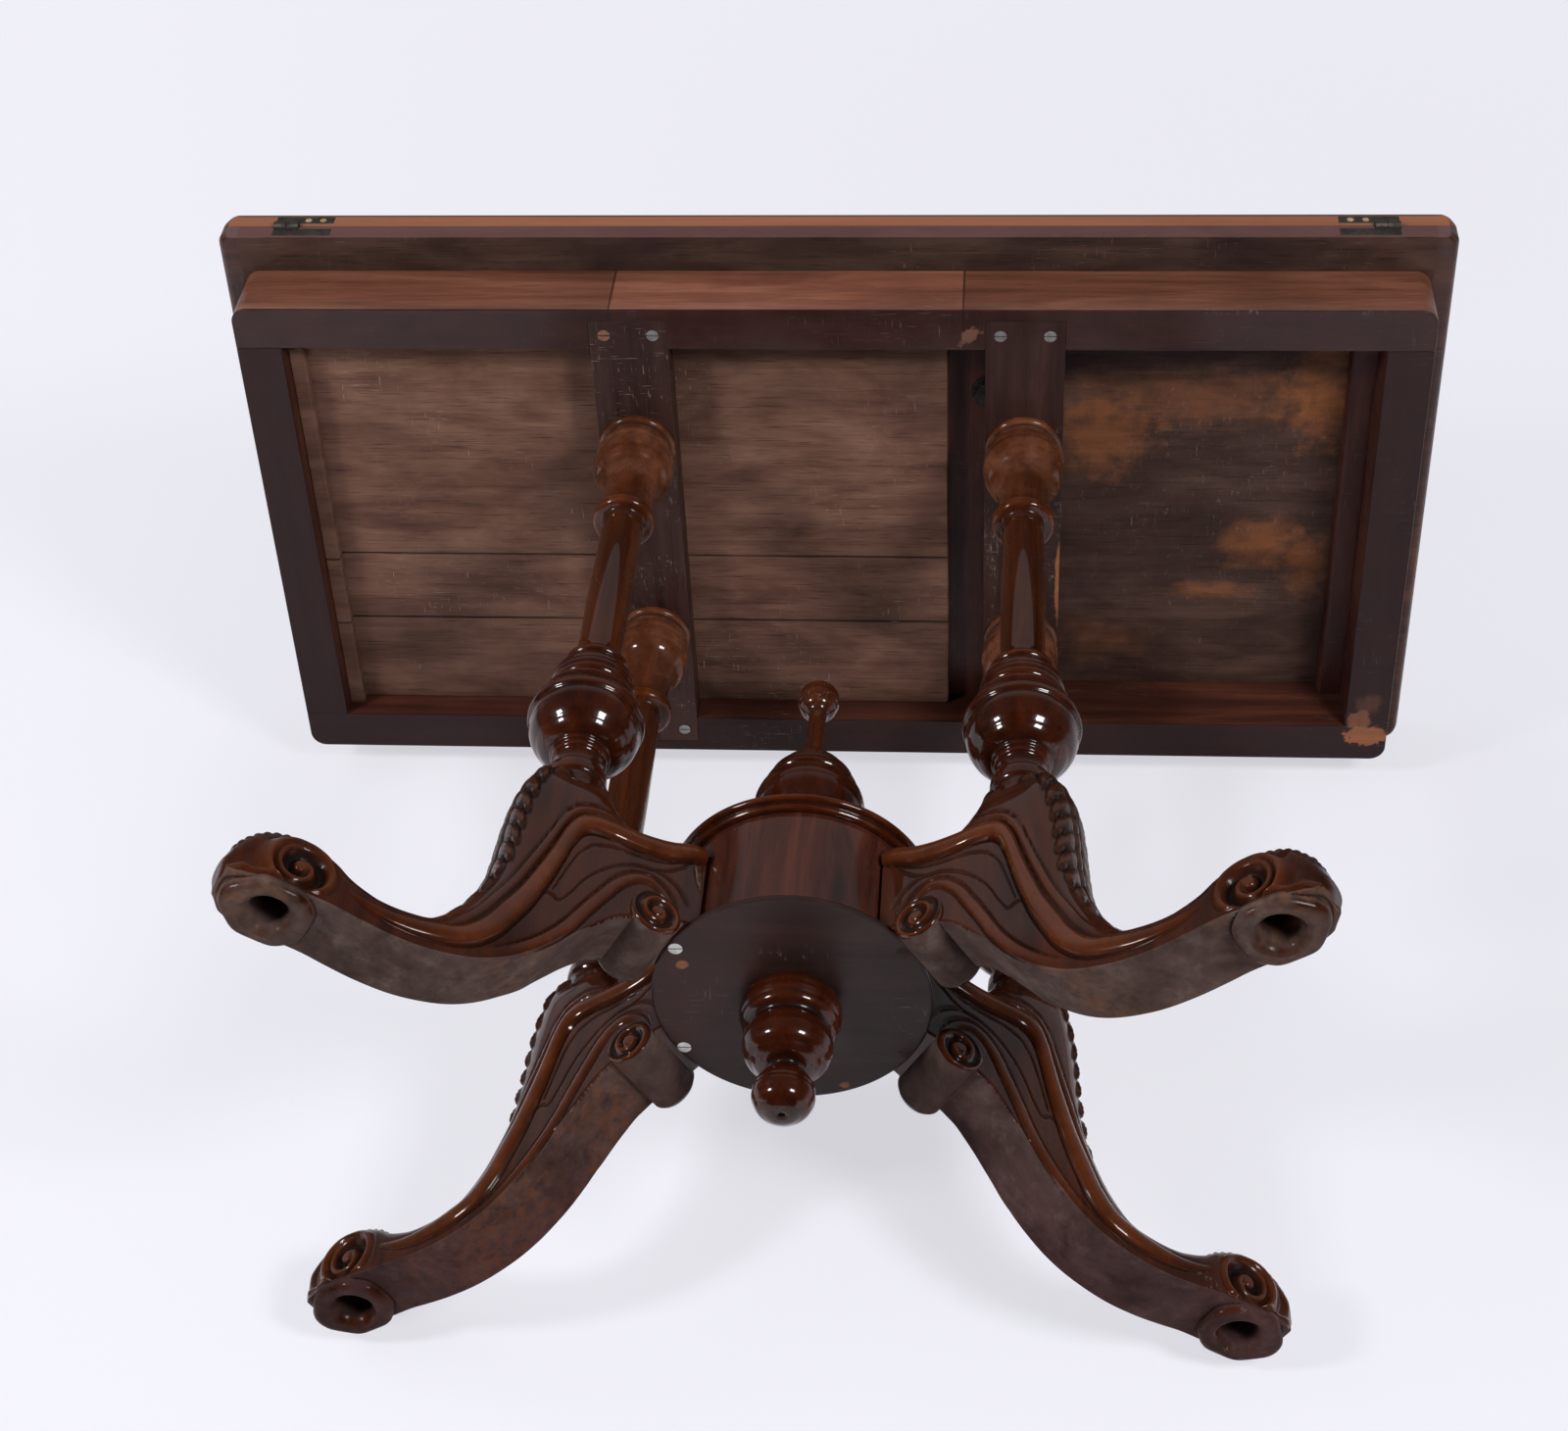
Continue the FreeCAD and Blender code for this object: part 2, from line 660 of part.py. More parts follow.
def make_frame():
    """The four rails with the well's floor, the pivot rail and the bearers."""
    corner_round = f"frame_corner * {QUARTER_ROUND}"
    long_rail = [
        ("0", "frame_corner"),
        ("frame_corner", "0", corner_round),
        (f"{FRAME_LENGTH} - frame_corner", "0"),
        (FRAME_LENGTH, "frame_corner", corner_round),
        (FRAME_LENGTH, "rail_thickness"),
        ("0", "rail_thickness"),
    ]
    screws = []
    holes = {"left": [], "right": []}
    for side_name, side in SIDES.items():
        for end_name, end in (("front", -1), ("back", 1)):
            for spread in (-1, 1):
                made, hole = screw(
                    f"bearer_screw_{side_name}_{end_name}_{len(screws)}",
                    f"{side} * {COLUMN_X} + {spread} * bearer_screw_spread / 2",
                    f"{end} * ({FRAME_DEPTH} / 2 - bearer_end - bearer_screw_inset)",
                    FRAME_BOTTOM,
                )
                screws.append(made)
                holes[side_name].append(hole)
    keep("bearer_screws", group("bearer_screws", screws))
    all_holes = holes["left"] + holes["right"]
    for end_name, end in (("front", -1), ("back", 1)):
        rail = pad(f"{end_name}_rail_blank", "XY_Plane", long_rail, "rail_height")
        if end > 0:
            place(rail, f"{FRAME_LENGTH} / 2", f"{FRAME_DEPTH} / 2", FRAME_BOTTOM, "180")
        else:
            place(rail, f"-{FRAME_LENGTH} / 2", f"-{FRAME_DEPTH} / 2", FRAME_BOTTOM)
        notches = [bearer_box(f"{end_name}_{side_name}_notch", side) for side_name, side in SIDES.items()]
        keep(f"{end_name}_rail", cut(f"{end_name}_rail", rail, notches + all_holes))
    for side_name, side in SIDES.items():
        rail = box(
            f"{side_name}_rail",
            "rail_thickness",
            INNER_DEPTH,
            "rail_height",
            f"{INNER_LENGTH} / 2" if side > 0 else f"-{FRAME_LENGTH} / 2",
            f"-{INNER_DEPTH} / 2",
            FRAME_BOTTOM,
        )
        keep(f"{side_name}_rail", rail)
        bearer = bearer_box(f"{side_name}_bearer_blank", side)
        tenons = [
            cylinder(
                f"{side_name}_{end_name}_bearer_hole",
                "column_tenon_radius + tenon_clearance",
                "column_tenon_length + tenon_clearance",
                f"{side} * {COLUMN_X}",
                f"{end} * {COLUMN_Y}",
                FRAME_BOTTOM,
            )
            for end_name, end in (("front", -1), ("back", 1))
        ]
        keep(f"{side_name}_bearer", cut(f"{side_name}_bearer", bearer, tenons + holes[side_name]))
    middle_width = f"({INNER_DEPTH} - back_board_width - front_board_width - 2 * board_gap)"
    board_y = f"-{INNER_DEPTH} / 2"
    for name, width in (
        ("front", "front_board_width"),
        ("middle", middle_width),
        ("back", "back_board_width"),
    ):
        size = (f"{INNER_LENGTH} / 2 - {WELL_END}", width, "well_floor_thickness")
        keep(f"{name}_well_board", box(f"{name}_well_board", *size, WELL_END, board_y, FLOOR_BOTTOM))
        board_y = f"{board_y} + {width} + board_gap"
    ledger = box(
        "well_ledger",
        "ledger_width",
        INNER_DEPTH,
        "ledger_height",
        f"{INNER_LENGTH} / 2 - ledger_width",
        f"-{INNER_DEPTH} / 2",
        f"{FLOOR_BOTTOM} - ledger_height",
    )
    keep("well_ledger", ledger)
    pivot_rail = box(
        "pivot_rail_blank",
        "pivot_rail_width + pivot_rail_lap",
        INNER_DEPTH,
        f"{FRAME_TOP} - {FLOOR_TOP}",
        f"{WELL_END} - pivot_rail_width",
        f"-{INNER_DEPTH} / 2",
        FLOOR_TOP,
    )
    pivot_hole = cylinder(
        "pivot_rail_hole", "pivot_radius + pivot_clearance", "rail_height", PIVOT_X, PIVOT_Y, FLOOR_TOP
    )
    keep("pivot_rail", cut("pivot_rail", pivot_rail, [pivot_hole]))


def make_columns():
    """The four turned columns, each tenoned into a knee below and a bearer above."""
    tenon = "column_tenon_radius"
    spigot = "column_tenon_length"
    collar = f"({spigot} + collar_height)"
    neck = f"({collar} + foot_neck_height)"
    widest = f"({neck} + ball_lower_height)"
    ball = f"({widest} + ball_upper_height)"
    rim = f"({ball} + ball_rim_height)"
    cove = f"({rim} + ball_cove_height)"
    bead = f"({cove} + bead_height)"
    top = f"({spigot} + column_height)"
    cup = f"({top} - cup_height)"
    ring = f"({cup} - neck_ring_height)"
    corners = [
        ("0", "0"),
        (tenon, "0"),
        (tenon, spigot),
        ("collar_radius", spigot),
        ("collar_radius", collar, "collar_round"),
        ("foot_neck_radius", collar),
        ("foot_neck_radius", neck),
        ("ball_radius", widest, round_to_widest("(ball_radius - foot_neck_radius)", "ball_lower_height")),
        ("ball_rim_radius", ball, round_to_widest("(ball_radius - ball_rim_radius)", "ball_upper_height")),
        ("ball_rim_radius", rim, "ball_rim_height / 3"),
        ("ball_cove_radius", rim),
        ("ball_cove_radius", cove),
        ("ball_cove_radius", bead, "bead_radius - ball_cove_radius"),
        ("shaft_radius", bead),
        ("shaft_radius", ring),
        ("neck_ring_radius - neck_ring_round", ring),
        ("neck_ring_radius - neck_ring_round", cup, "neck_ring_round"),
        ("cup_foot_radius", cup),
        ("cup_radius", f"{top} - cup_band", "cup_round"),
        ("cup_radius", top),
        (tenon, top),
        (tenon, f"{top} + {spigot}"),
        ("0", f"{top} + {spigot}"),
    ]
    for name, (side_x, side_y) in CORNERS.items():
        column = turned(f"{name}_column", corners)
        place(column, f"{side_x} * {COLUMN_X}", f"{side_y} * {COLUMN_Y}", f"knee_height - {spigot}")
        keep(f"{name}_column", column)


def leg_outline():
    """The leg seen from its side, anticlockwise: sole, foot, instep, knee, root and scroll."""
    root = "(drum_radius / 2)"
    return [
        ("pad_inner_reach", "0"),
        ("pad_outer_reach", "0"),
        ("foot_nose_reach", "foot_nose_height"),
        ("foot_top_reach", "foot_top_height", "foot_nose_round"),
        ("toe_reach", "toe_height", "foot_rise"),
        ("instep_reach", "instep_height", "-instep_dip"),
        ("ankle_reach", "ankle_height", "-ankle_hollow"),
        ("knee_seat_outer", "knee_height", "knee_round"),
        ("knee_seat_inner", "knee_height"),
        ("leg_saddle_reach", "leg_saddle_height"),
        (root, "leg_root_top", "-leg_saddle_dip"),
        (root, f"{DRUM_BOTTOM} + leg_root_clearance"),
        ("disc_radius + leg_root_clearance", f"{DRUM_BOTTOM} + leg_root_clearance"),
        ("scroll_reach - scroll_radius", "scroll_height - leg_root_clearance"),
        ("scroll_reach + scroll_radius", "scroll_height - leg_root_clearance", "scroll_radius * 0.95"),
        ("scroll_step_reach", "scroll_step_height"),
        ("calf_reach", "calf_height"),
        ("sole_inner_reach", "pad_step", "calf_round"),
        ("pad_inner_reach", "pad_step", "sole_dip"),
    ]


def leg_dowel(name, height, spare):
    """A dowel along the leg, half in the drum and half in the leg's root."""
    return cylinder(
        name,
        f"dowel_radius + {spare}",
        f"dowel_length + 2 * {spare}",
        f"drum_radius - dowel_length / 2 - {spare}",
        "0",
        height,
        Y_AXIS,
    )


def make_base():
    """The legs round the drum, with its rim, disc, finial, pendant and dowels."""
    turns = {
        "front_left": "180 + leg_angle",
        "front_right": "-leg_angle",
        "back_left": "180 - leg_angle",
        "back_right": "leg_angle",
    }
    heights = ("lower_dowel_height", "upper_dowel_height")
    dowels = []
    drum_holes = []
    for name, turn in turns.items():
        leg = pad(f"{name}_leg_blank", "XZ_Plane", leg_outline(), "leg_width", symmetric=True)
        tools = [
            cylinder(f"{name}_leg_root", "drum_radius + tenon_clearance", RIM_TOP),
            cylinder(f"{name}_socket", "socket_radius", "socket_depth", "socket_reach"),
            cylinder(f"{name}_socket_mouth", "socket_mouth_radius", "socket_mouth_depth", "socket_reach"),
            cylinder(
                f"{name}_column_hole",
                "column_tenon_radius + tenon_clearance",
                "column_tenon_length + tenon_clearance",
                "column_reach",
                "0",
                "knee_height - column_tenon_length - tenon_clearance",
            ),
        ]
        tools.append(screw_hole(f"{name}_leg_screw", "disc_screw_reach", "0", "disc_height"))
        for index, height in enumerate(heights):
            tools.append(leg_dowel(f"{name}_leg_bore_{index}", height, "tenon_clearance"))
            dowel = group(f"{name}_dowel_{index}", [leg_dowel(f"{name}_dowel_rod_{index}", height, "0")])
            drum_rod = leg_dowel(f"{name}_drum_rod_{index}", height, "tenon_clearance")
            bore = group(f"{name}_drum_bore_{index}", [drum_rod])
            dowels.append(place(dowel, turn=turn))
            drum_holes.append(place(bore, turn=turn))
        keep(f"{name}_leg", place(cut(f"{name}_leg", leg, tools), turn=turn))
    keep("leg_dowels", group("leg_dowels", dowels))
    tenon = "finial_tenon_radius + tenon_clearance"
    tenon_length = "finial_tenon_length + tenon_clearance"
    drum = cylinder("drum_blank", "drum_radius", "drum_height", z=DRUM_BOTTOM)
    upper_hole = cylinder(
        "drum_upper_hole", tenon, tenon_length, z=f"{RIM_TOP} - finial_tenon_length - tenon_clearance"
    )
    lower_hole = cylinder("drum_lower_hole", tenon, tenon_length, z="disc_height")
    screws = []
    screw_holes = []
    for index, (side_x, side_y) in enumerate(CORNERS.values()):
        made, hole = screw(
            f"disc_screw_{index}",
            f"{side_x} * disc_screw_reach * cos(leg_angle)",
            f"{side_y} * disc_screw_reach * sin(leg_angle)",
            "disc_height",
        )
        screws.append(made)
        screw_holes.append(hole)
    keep("base_disc_screws", group("base_disc_screws", screws))
    keep("drum", cut("drum", drum, [upper_hole, lower_hole] + drum_holes + screw_holes))
    rim = turned(
        "drum_rim_blank",
        [
            (tenon, "0"),
            ("rim_radius - rim_round", "0"),
            ("rim_radius - rim_round", "rim_thickness", "rim_round"),
            (tenon, "rim_thickness"),
        ],
    )
    keep("drum_rim", place(rim, z=DRUM_TOP))
    disc = cylinder("base_disc_blank", "disc_radius", "disc_thickness", z="disc_height")
    disc_hole = cylinder("base_disc_hole", tenon, "disc_thickness", z="disc_height")
    keep("base_disc", cut("base_disc", disc, [disc_hole] + screw_holes))
    make_finials()


def make_finials():
    """The turned finial on the drum and the turned pendant under the disc, both on tenons."""
    tenon = "finial_tenon_radius"
    seat = "finial_tenon_length"
    foot = f"({seat} + finial_foot_height)"
    waist = f"({foot} + finial_waist_height)"
    bulb = f"({waist} + bulb_lower_height)"
    edge = f"({bulb} + bulb_upper_height)"
    shoulder = f"({edge} + finial_shoulder_height)"
    stem = f"({shoulder} + finial_stem_height)"
    ball_side = "(sqrt(finial_ball_radius^2 - finial_stem_radius^2))"
    top = f"({stem} + {ball_side} + finial_ball_radius)"
    ball_bulge = sphere_bulge("finial_ball_radius", "(finial_ball_radius - finial_stem_radius)", ball_side)
    finial = turned(
        "upper_finial",
        [
            ("0", "0"),
            (tenon, "0"),
            (tenon, seat),
            ("finial_foot_radius", seat),
            ("finial_foot_radius", foot, "finial_foot_height / 4"),
            ("finial_waist_radius", foot),
            ("finial_waist_radius", waist),
            ("bulb_radius", bulb, "bulb_lower_round"),
            ("bulb_edge_radius", edge, "bulb_upper_round"),
            ("finial_stem_radius", shoulder, "-finial_shoulder_round"),
            ("finial_stem_radius", stem),
            ("finial_ball_radius", f"{stem} + {ball_side}", ball_bulge),
            ("0", top, f"finial_ball_radius * {QUARTER_ROUND}"),
        ],
    )
    keep("upper_finial", place(finial, z=f"{RIM_TOP} - {seat}"))
    ball_top = "(sqrt(pendant_ball_radius^2 - pendant_neck_radius^2))"
    side_swell = "(pendant_ball_radius - pendant_neck_radius)"
    ball = "pendant_ball_radius"
    neck = f"({ball} + {ball_top})"
    bulb_low = f"({neck} + pendant_neck_height)"
    bulb_widest = f"({bulb_low} + pendant_bulb_lower_height)"
    bulb_high = f"({bulb_widest} + pendant_bulb_upper_height)"
    lower_swell = "(pendant_bulb_radius - pendant_neck_radius)"
    upper_swell = "(pendant_bulb_radius - pendant_waist_radius)"
    neck_to_bulb = round_to_widest(lower_swell, "pendant_bulb_lower_height")
    bulb_to_waist = round_to_widest(upper_swell, "pendant_bulb_upper_height")
    collar = f"({bulb_high} + pendant_collar_height)"
    pendant = turned(
        "lower_pendant",
        [
            ("0", "0"),
            (ball, ball, f"{ball} * {QUARTER_ROUND}"),
            ("pendant_neck_radius", neck, sphere_bulge(ball, side_swell, ball_top)),
            ("pendant_neck_radius", bulb_low),
            ("pendant_bulb_radius", bulb_widest, neck_to_bulb),
            ("pendant_waist_radius", bulb_high, bulb_to_waist),
            ("pendant_collar_radius - pendant_collar_round", bulb_high),
            ("pendant_collar_radius - pendant_collar_round", collar, "pendant_collar_round"),
            (tenon, collar),
            (tenon, f"{collar} + {seat}"),
            ("0", f"{collar} + {seat}"),
        ],
    )
    keep("lower_pendant", place(pendant, z=f"disc_height - {collar}"))


def check_and_write():
    """Stop on any failed object or bad solid, then write one file for each sub-part."""
    doc.recompute()
    failed = [thing.Name for thing in doc.Objects if {"Invalid", "Error"} & set(thing.State)]
    if failed:
        raise RuntimeError(f"failed objects: {failed}")
    for thing in sub_parts:
        if thing.Shape.isNull() or not thing.Shape.isValid() or not thing.Shape.Solids:
            raise RuntimeError(f"bad shape: {thing.Label}")
    os.makedirs("parts", exist_ok=True)
    for thing in sub_parts:
        thing.Shape.exportStep(os.path.join("parts", f"{thing.Label}.step"))
    print(len(sub_parts), "sub-parts written")


make_leaves()
make_frame()
make_columns()
make_base()
check_and_write()
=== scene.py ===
"""The looks of a fold-over card table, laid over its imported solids.

Sizes are millimetres where no name says otherwise, and meshes are put down in metres. The table stands
upright on its feet. The camera looks up at its underside with a roll, as the photograph does.
"""
import math

import bmesh
import bpy
import numpy as np
from mathutils import Matrix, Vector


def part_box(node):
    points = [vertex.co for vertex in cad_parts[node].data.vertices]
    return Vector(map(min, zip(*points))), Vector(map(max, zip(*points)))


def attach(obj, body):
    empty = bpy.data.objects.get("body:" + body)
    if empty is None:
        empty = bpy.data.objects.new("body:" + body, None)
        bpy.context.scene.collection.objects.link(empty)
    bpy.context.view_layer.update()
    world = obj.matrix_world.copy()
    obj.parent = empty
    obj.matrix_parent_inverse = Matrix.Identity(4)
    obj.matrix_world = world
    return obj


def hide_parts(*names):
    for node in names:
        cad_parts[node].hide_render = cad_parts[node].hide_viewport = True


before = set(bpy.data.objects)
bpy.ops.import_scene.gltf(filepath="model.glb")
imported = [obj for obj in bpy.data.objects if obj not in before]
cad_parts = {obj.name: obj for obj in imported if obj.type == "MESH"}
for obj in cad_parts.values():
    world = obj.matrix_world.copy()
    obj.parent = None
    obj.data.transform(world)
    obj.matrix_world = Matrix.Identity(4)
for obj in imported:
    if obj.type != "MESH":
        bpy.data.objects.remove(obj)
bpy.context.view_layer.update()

MM = 0.001
FULL_TURN = 2 * math.pi
ROOT_TWO = 1.4142
ARRIS_ANGLE = math.radians(35)
SAME_PLANE = math.radians(1)
BEVEL_STEPS = 2
COAT_IOR = 1.46


# Curves and meshes
def run_along(points):
    """How far along the line through the points each of them lies, measured on the straight chords."""
    return np.concatenate([[0.0], np.cumsum(np.linalg.norm(np.diff(points, axis=0), axis=1))])


def curve_through(points, places):
    """A Hermite curve through the points. Its slope at each point comes from the neighbours on both
    sides, over the lengths of the chords. places are shares of the whole length, from 0 to 1."""
    points = np.asarray(points, float)
    at = run_along(points)
    slopes = np.gradient(points, at, axis=0)
    x = np.asarray(places) * at[-1]
    k = np.clip(np.searchsorted(at, x, side="right") - 1, 0, len(at) - 2)
    span = (at[k + 1] - at[k])[:, None]
    f = ((x - at[k])[:, None]) / span
    start = (2 * f**3 - 3 * f**2 + 1) * points[k] + (f**3 - 2 * f**2 + f) * span * slopes[k]
    end = (-2 * f**3 + 3 * f**2) * points[k + 1] + (f**3 - f**2) * span * slopes[k + 1]
    return start + end


def ease(low, high, x):
    """0 below low, 1 above high, and the cubic 3f2 - 2f3 between them."""
    f = np.clip((x - low) / (high - low), 0, 1)
    return f * f * (3 - 2 * f)


def hump(x, centre, width):
    """A bell: the exponential of minus the squared distance from the centre over the width."""
    return np.exp(-(((x - centre) / width) ** 2))


def half_round(x, centre, half):
    """Half a circle's outline with height 1: the root of 1 less the squared distance from the centre over
    the half width, and 0 beyond it."""
    return np.sqrt(np.clip(1 - ((x - centre) / half) ** 2, 0, 1))


def circle(sides):
    """Cosines and sines of angles that lie evenly round a full turn."""
    angle = np.arange(sides) * (FULL_TURN / sides)
    return np.cos(angle), np.sin(angle)


def averaged(values, weights):
    """A running average by weights, with the end values held beyond the ends."""
    return np.convolve(np.pad(values, len(weights) // 2, "edge"), weights, "valid")


def distance_to(line, s, z):
    """How far each point (s, z) lies from a dense line, and on which side: above it is positive."""
    offset_s = s[..., None] - line[:, 0]
    offset_z = z[..., None] - line[:, 1]
    squared = offset_s**2 + offset_z**2
    nearest = squared.argmin(-1)
    along = np.gradient(line, axis=0)
    pick = np.take_along_axis
    near_s = pick(offset_s, nearest[..., None], -1)[..., 0]
    near_z = pick(offset_z, nearest[..., None], -1)[..., 0]
    side = np.sign(along[nearest, 0] * near_z - along[nearest, 1] * near_s)
    return np.sqrt(pick(squared, nearest[..., None], -1)[..., 0]), side


def grid_faces(rows, columns, ring=True):
    """The quads of a grid whose points are numbered row by row. A ring joins its last column to its first."""
    row = np.arange(rows - 1)[:, None]
    column = np.arange(columns if ring else columns - 1)[None, :]
    beside = (column + 1) % columns
    corners = (row * columns + column, row * columns + beside)
    above = ((row + 1) * columns + beside, (row + 1) * columns + column)
    return np.stack(np.broadcast_arrays(*corners, *above), -1).reshape(-1, 4)


def closed_grid(points):
    """A ring grid of points with a flat face over its first and its last row."""
    rows, columns = points.shape[:2]
    first = np.arange(columns)[::-1][None, :]
    last = np.arange(columns)[None, :] + (rows - 1) * columns
    return points.reshape(-1, 3), [grid_faces(rows, columns), first, last]


def put_mesh(name, shells, finish, body, nodes=(), marks=None, crease=math.radians(40)):
    """One piece from several shells, each a pair of points in millimetres and face arrays. It rides on
    a body, takes a slot, stands for CAD nodes and carries marks, which are one number a point."""
    points = np.concatenate([shell[0] for shell in shells])
    starts = np.cumsum([0] + [len(shell[0]) for shell in shells])
    faces = [array + start for shell, start in zip(shells, starts) for array in shell[1]]
    corners = np.concatenate([array.ravel() for array in faces])
    sizes = np.concatenate([np.full(len(array), array.shape[1]) for array in faces])
    mesh = bpy.data.meshes.new(name)
    mesh.vertices.add(len(points))
    mesh.vertices.foreach_set("co", (points * MM).astype(np.float32).ravel())
    mesh.loops.add(len(corners))
    mesh.loops.foreach_set("vertex_index", corners.astype(np.int32))
    mesh.polygons.add(len(sizes))
    mesh.polygons.foreach_set("loop_start", np.concatenate([[0], np.cumsum(sizes)[:-1]]).astype(np.int32))
    for mark, values in (marks or {}).items():
        layer = mesh.attributes.new(mark, "FLOAT", "POINT")
        layer.data.foreach_set("value", np.asarray(values, np.float32).ravel())
    mesh.update(calc_edges=True)
    mesh.validate()
    face_outwards(mesh)
    return dress(bpy.data.objects.new(name, mesh), finish, body, nodes, crease)


def face_outwards(mesh, merge=1e-7, flatten=False):
    """Merge points that coincide, join the faces that lie in one plane if asked to, and turn every face
    outwards."""
    work = bmesh.new()
    work.from_mesh(mesh)
    bmesh.ops.remove_doubles(work, verts=work.verts, dist=merge)
    if flatten:
        bmesh.ops.dissolve_limit(work, angle_limit=SAME_PLANE, verts=work.verts, edges=work.edges)
    bmesh.ops.recalc_face_normals(work, faces=work.faces)
    work.to_mesh(mesh)
    work.free()


def dress(piece, finish, body, nodes, crease):
    """Link a piece, shade it smooth but for its creases, and say what it rides on and stands for."""
    bpy.context.scene.collection.objects.link(piece)
    mesh = piece.data
    mesh.materials.clear()
    mesh.materials.append(finish)
    mesh.polygons.foreach_set("use_smooth", np.ones(len(mesh.polygons), bool))
    mesh.set_sharp_from_angle(angle=crease)
    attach(piece, body)
    if nodes:
        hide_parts(*nodes)
    return piece


def eased_copy(node, finish, body, width=0.9):
    """A CAD node's solid with its arrises eased by a small bevel, standing for that node."""
    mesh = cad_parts[node].data.copy()
    face_outwards(mesh, 1e-6, flatten=True)
    piece = dress(bpy.data.objects.new(f"{node}_eased", mesh), finish, body, (node,), ARRIS_ANGLE)
    bevel = piece.modifiers.new("eased arrises", "BEVEL")
    bevel.width = width * MM
    bevel.segments = BEVEL_STEPS
    bevel.limit_method = "ANGLE"
    bevel.angle_limit = ARRIS_ANGLE
    bevel.harden_normals = True


# Finishes
def shade(tone, share, lift=0.0):
    """A tone made darker or lighter by a share, with a small lift added to each colour."""
    return tuple(share * part + lift for part in tone)


def along(axis, across, lengthwise):
    """Scales that draw a pattern out along one axis: lengthwise on it and across on the other two."""
    return tuple(lengthwise if name == axis else across for name in "xyz")


class Nodes:
    """A node tree under construction: small helpers that add and join its nodes."""

    def __init__(self, tree):
        self.tree = tree

    def node(self, kind, inputs=(), **settings):
        made = self.tree.nodes.new(kind)
        for key, setting in settings.items():
            setattr(made, key, setting)
        for key, given in dict(inputs).items():
            self.feed(made.inputs[key], given)
        return made

    def feed(self, socket, given):
        if isinstance(given, bpy.types.NodeSocket):
            self.tree.links.new(given, socket)
        else:
            socket.default_value = given

    def between(self, value, low, high, to_low=0.0, to_high=1.0):
        """A value spread from low..high over to_low..to_high and held at the ends."""
        inputs = {"Value": value, "From Min": low, "From Max": high, "To Min": to_low, "To Max": to_high}
        return self.node("ShaderNodeMapRange", inputs).outputs["Result"]

    def math(self, operation, first, second=0.0):
        return self.node("ShaderNodeMath", {0: first, 1: second}, operation=operation).outputs[0]

    def times(self, first, *others):
        """The product of several values."""
        for other in others:
            first = self.math("MULTIPLY", first, other)
        return first

    def near(self, value, place, outer, inner):
        """1 where a value is within the inner distance of a place, down to 0 at the outer distance."""
        return self.between(self.math("ABSOLUTE", self.math("SUBTRACT", value, place)), outer, inner)


class Finish(Nodes):
    """A material under construction, on the coordinates of the object that wears it."""

    def __init__(self, name):
        self.material = bpy.data.materials.new(name)
        self.material.use_nodes = True
        super().__init__(self.material.node_tree)
        self.shader = self.tree.nodes["Principled BSDF"]
        self.coordinates = self.node("ShaderNodeTexCoord").outputs["Object"]

    def surface(self, settings):
        """Feed the shader's sockets, each with a joined value or with one that is the same all over."""
        for key, given in settings.items():
            self.feed(self.shader.inputs[key], given)
        return self.material

    def stretched(self, scale, turn=(0, 0, 0)):
        """Object coordinates turned and scaled, so that a pattern runs long along one axis."""
        mapping = {"Vector": self.coordinates, "Scale": scale, "Rotation": turn}
        return self.node("ShaderNodeMapping", mapping).outputs["Vector"]

    def apart(self):
        """The object coordinates' three numbers by name."""
        return self.node("ShaderNodeSeparateXYZ", {0: self.coordinates}).outputs

    def away(self, vector):
        """How far a place lies from the middle of its coordinates."""
        return self.node("ShaderNodeVectorMath", {0: vector}, operation="LENGTH").outputs["Value"]

    def noise(self, vector, scale, detail=4.0, rough=0.55, twist=0.0):
        inputs = {"Vector": vector, "Scale": scale, "Detail": detail, "Roughness": rough, "Distortion": twist}
        return self.node("ShaderNodeTexNoise", inputs).outputs["Fac"]

    def ramp(self, value, tones):
        """A colour from tones that lie evenly over the values from 0 to 1."""
        made = self.node("ShaderNodeValToRGB", {"Fac": value})
        elements = made.color_ramp.elements
        while len(elements) < len(tones):
            elements.new(0.5)
        for element, place, tone in zip(elements, np.linspace(0, 1, len(tones)), tones):
            element.position = place
            element.color = (*tone, 1)
        return made.outputs["Color"]

    def blend(self, share, under, over, mode="MIX"):
        made = self.node("ShaderNodeMix", data_type="RGBA", blend_type=mode)
        for socket, given in ((made.inputs[0], share), (made.inputs[6], under), (made.inputs[7], over)):
            if isinstance(given, tuple):
                given = (*given, 1)
            self.feed(socket, given)
        return made.outputs[2]

    def mark(self, name):
        return self.node("ShaderNodeAttribute", attribute_name=name).outputs["Fac"]

    def blot(self, centre, half, soft=0.2, ragged=0.3):
        """A patch: 1 well inside an ellipsoid with these half sizes, 0 outside, its rim broken by noise."""
        place = {"Vector": self.coordinates, "Scale": tuple(1 / h for h in half),
                 "Location": tuple(-c / h for c, h in zip(centre, half))}
        scaled = self.node("ShaderNodeMapping", place).outputs["Vector"]
        broken = self.between(self.noise(self.coordinates, 75.0, 3, 0.55), 0.25, 0.75, -ragged, ragged)
        return self.between(self.math("ADD", self.away(scaled), broken), 1 + soft, 1 - soft)

    def patched(self, colour, patches, streaks=1.0):
        """A colour with patches laid over it: centre, half sizes, tint, strength, softness, raggedness.
        Streaks of the wood below may break them."""
        for centre, half, tint, strength, *rim in patches:
            share = self.times(self.blot(centre, half, *rim), strength, streaks)
            colour = self.blend(share, colour, tint)
        return colour

    def relief(self, height, distance, strength=1.0, over=None):
        inputs = {"Height": height, "Distance": distance, "Strength": strength}
        if over is not None:
            inputs["Normal"] = over
        return self.node("ShaderNodeBump", inputs).outputs["Normal"]


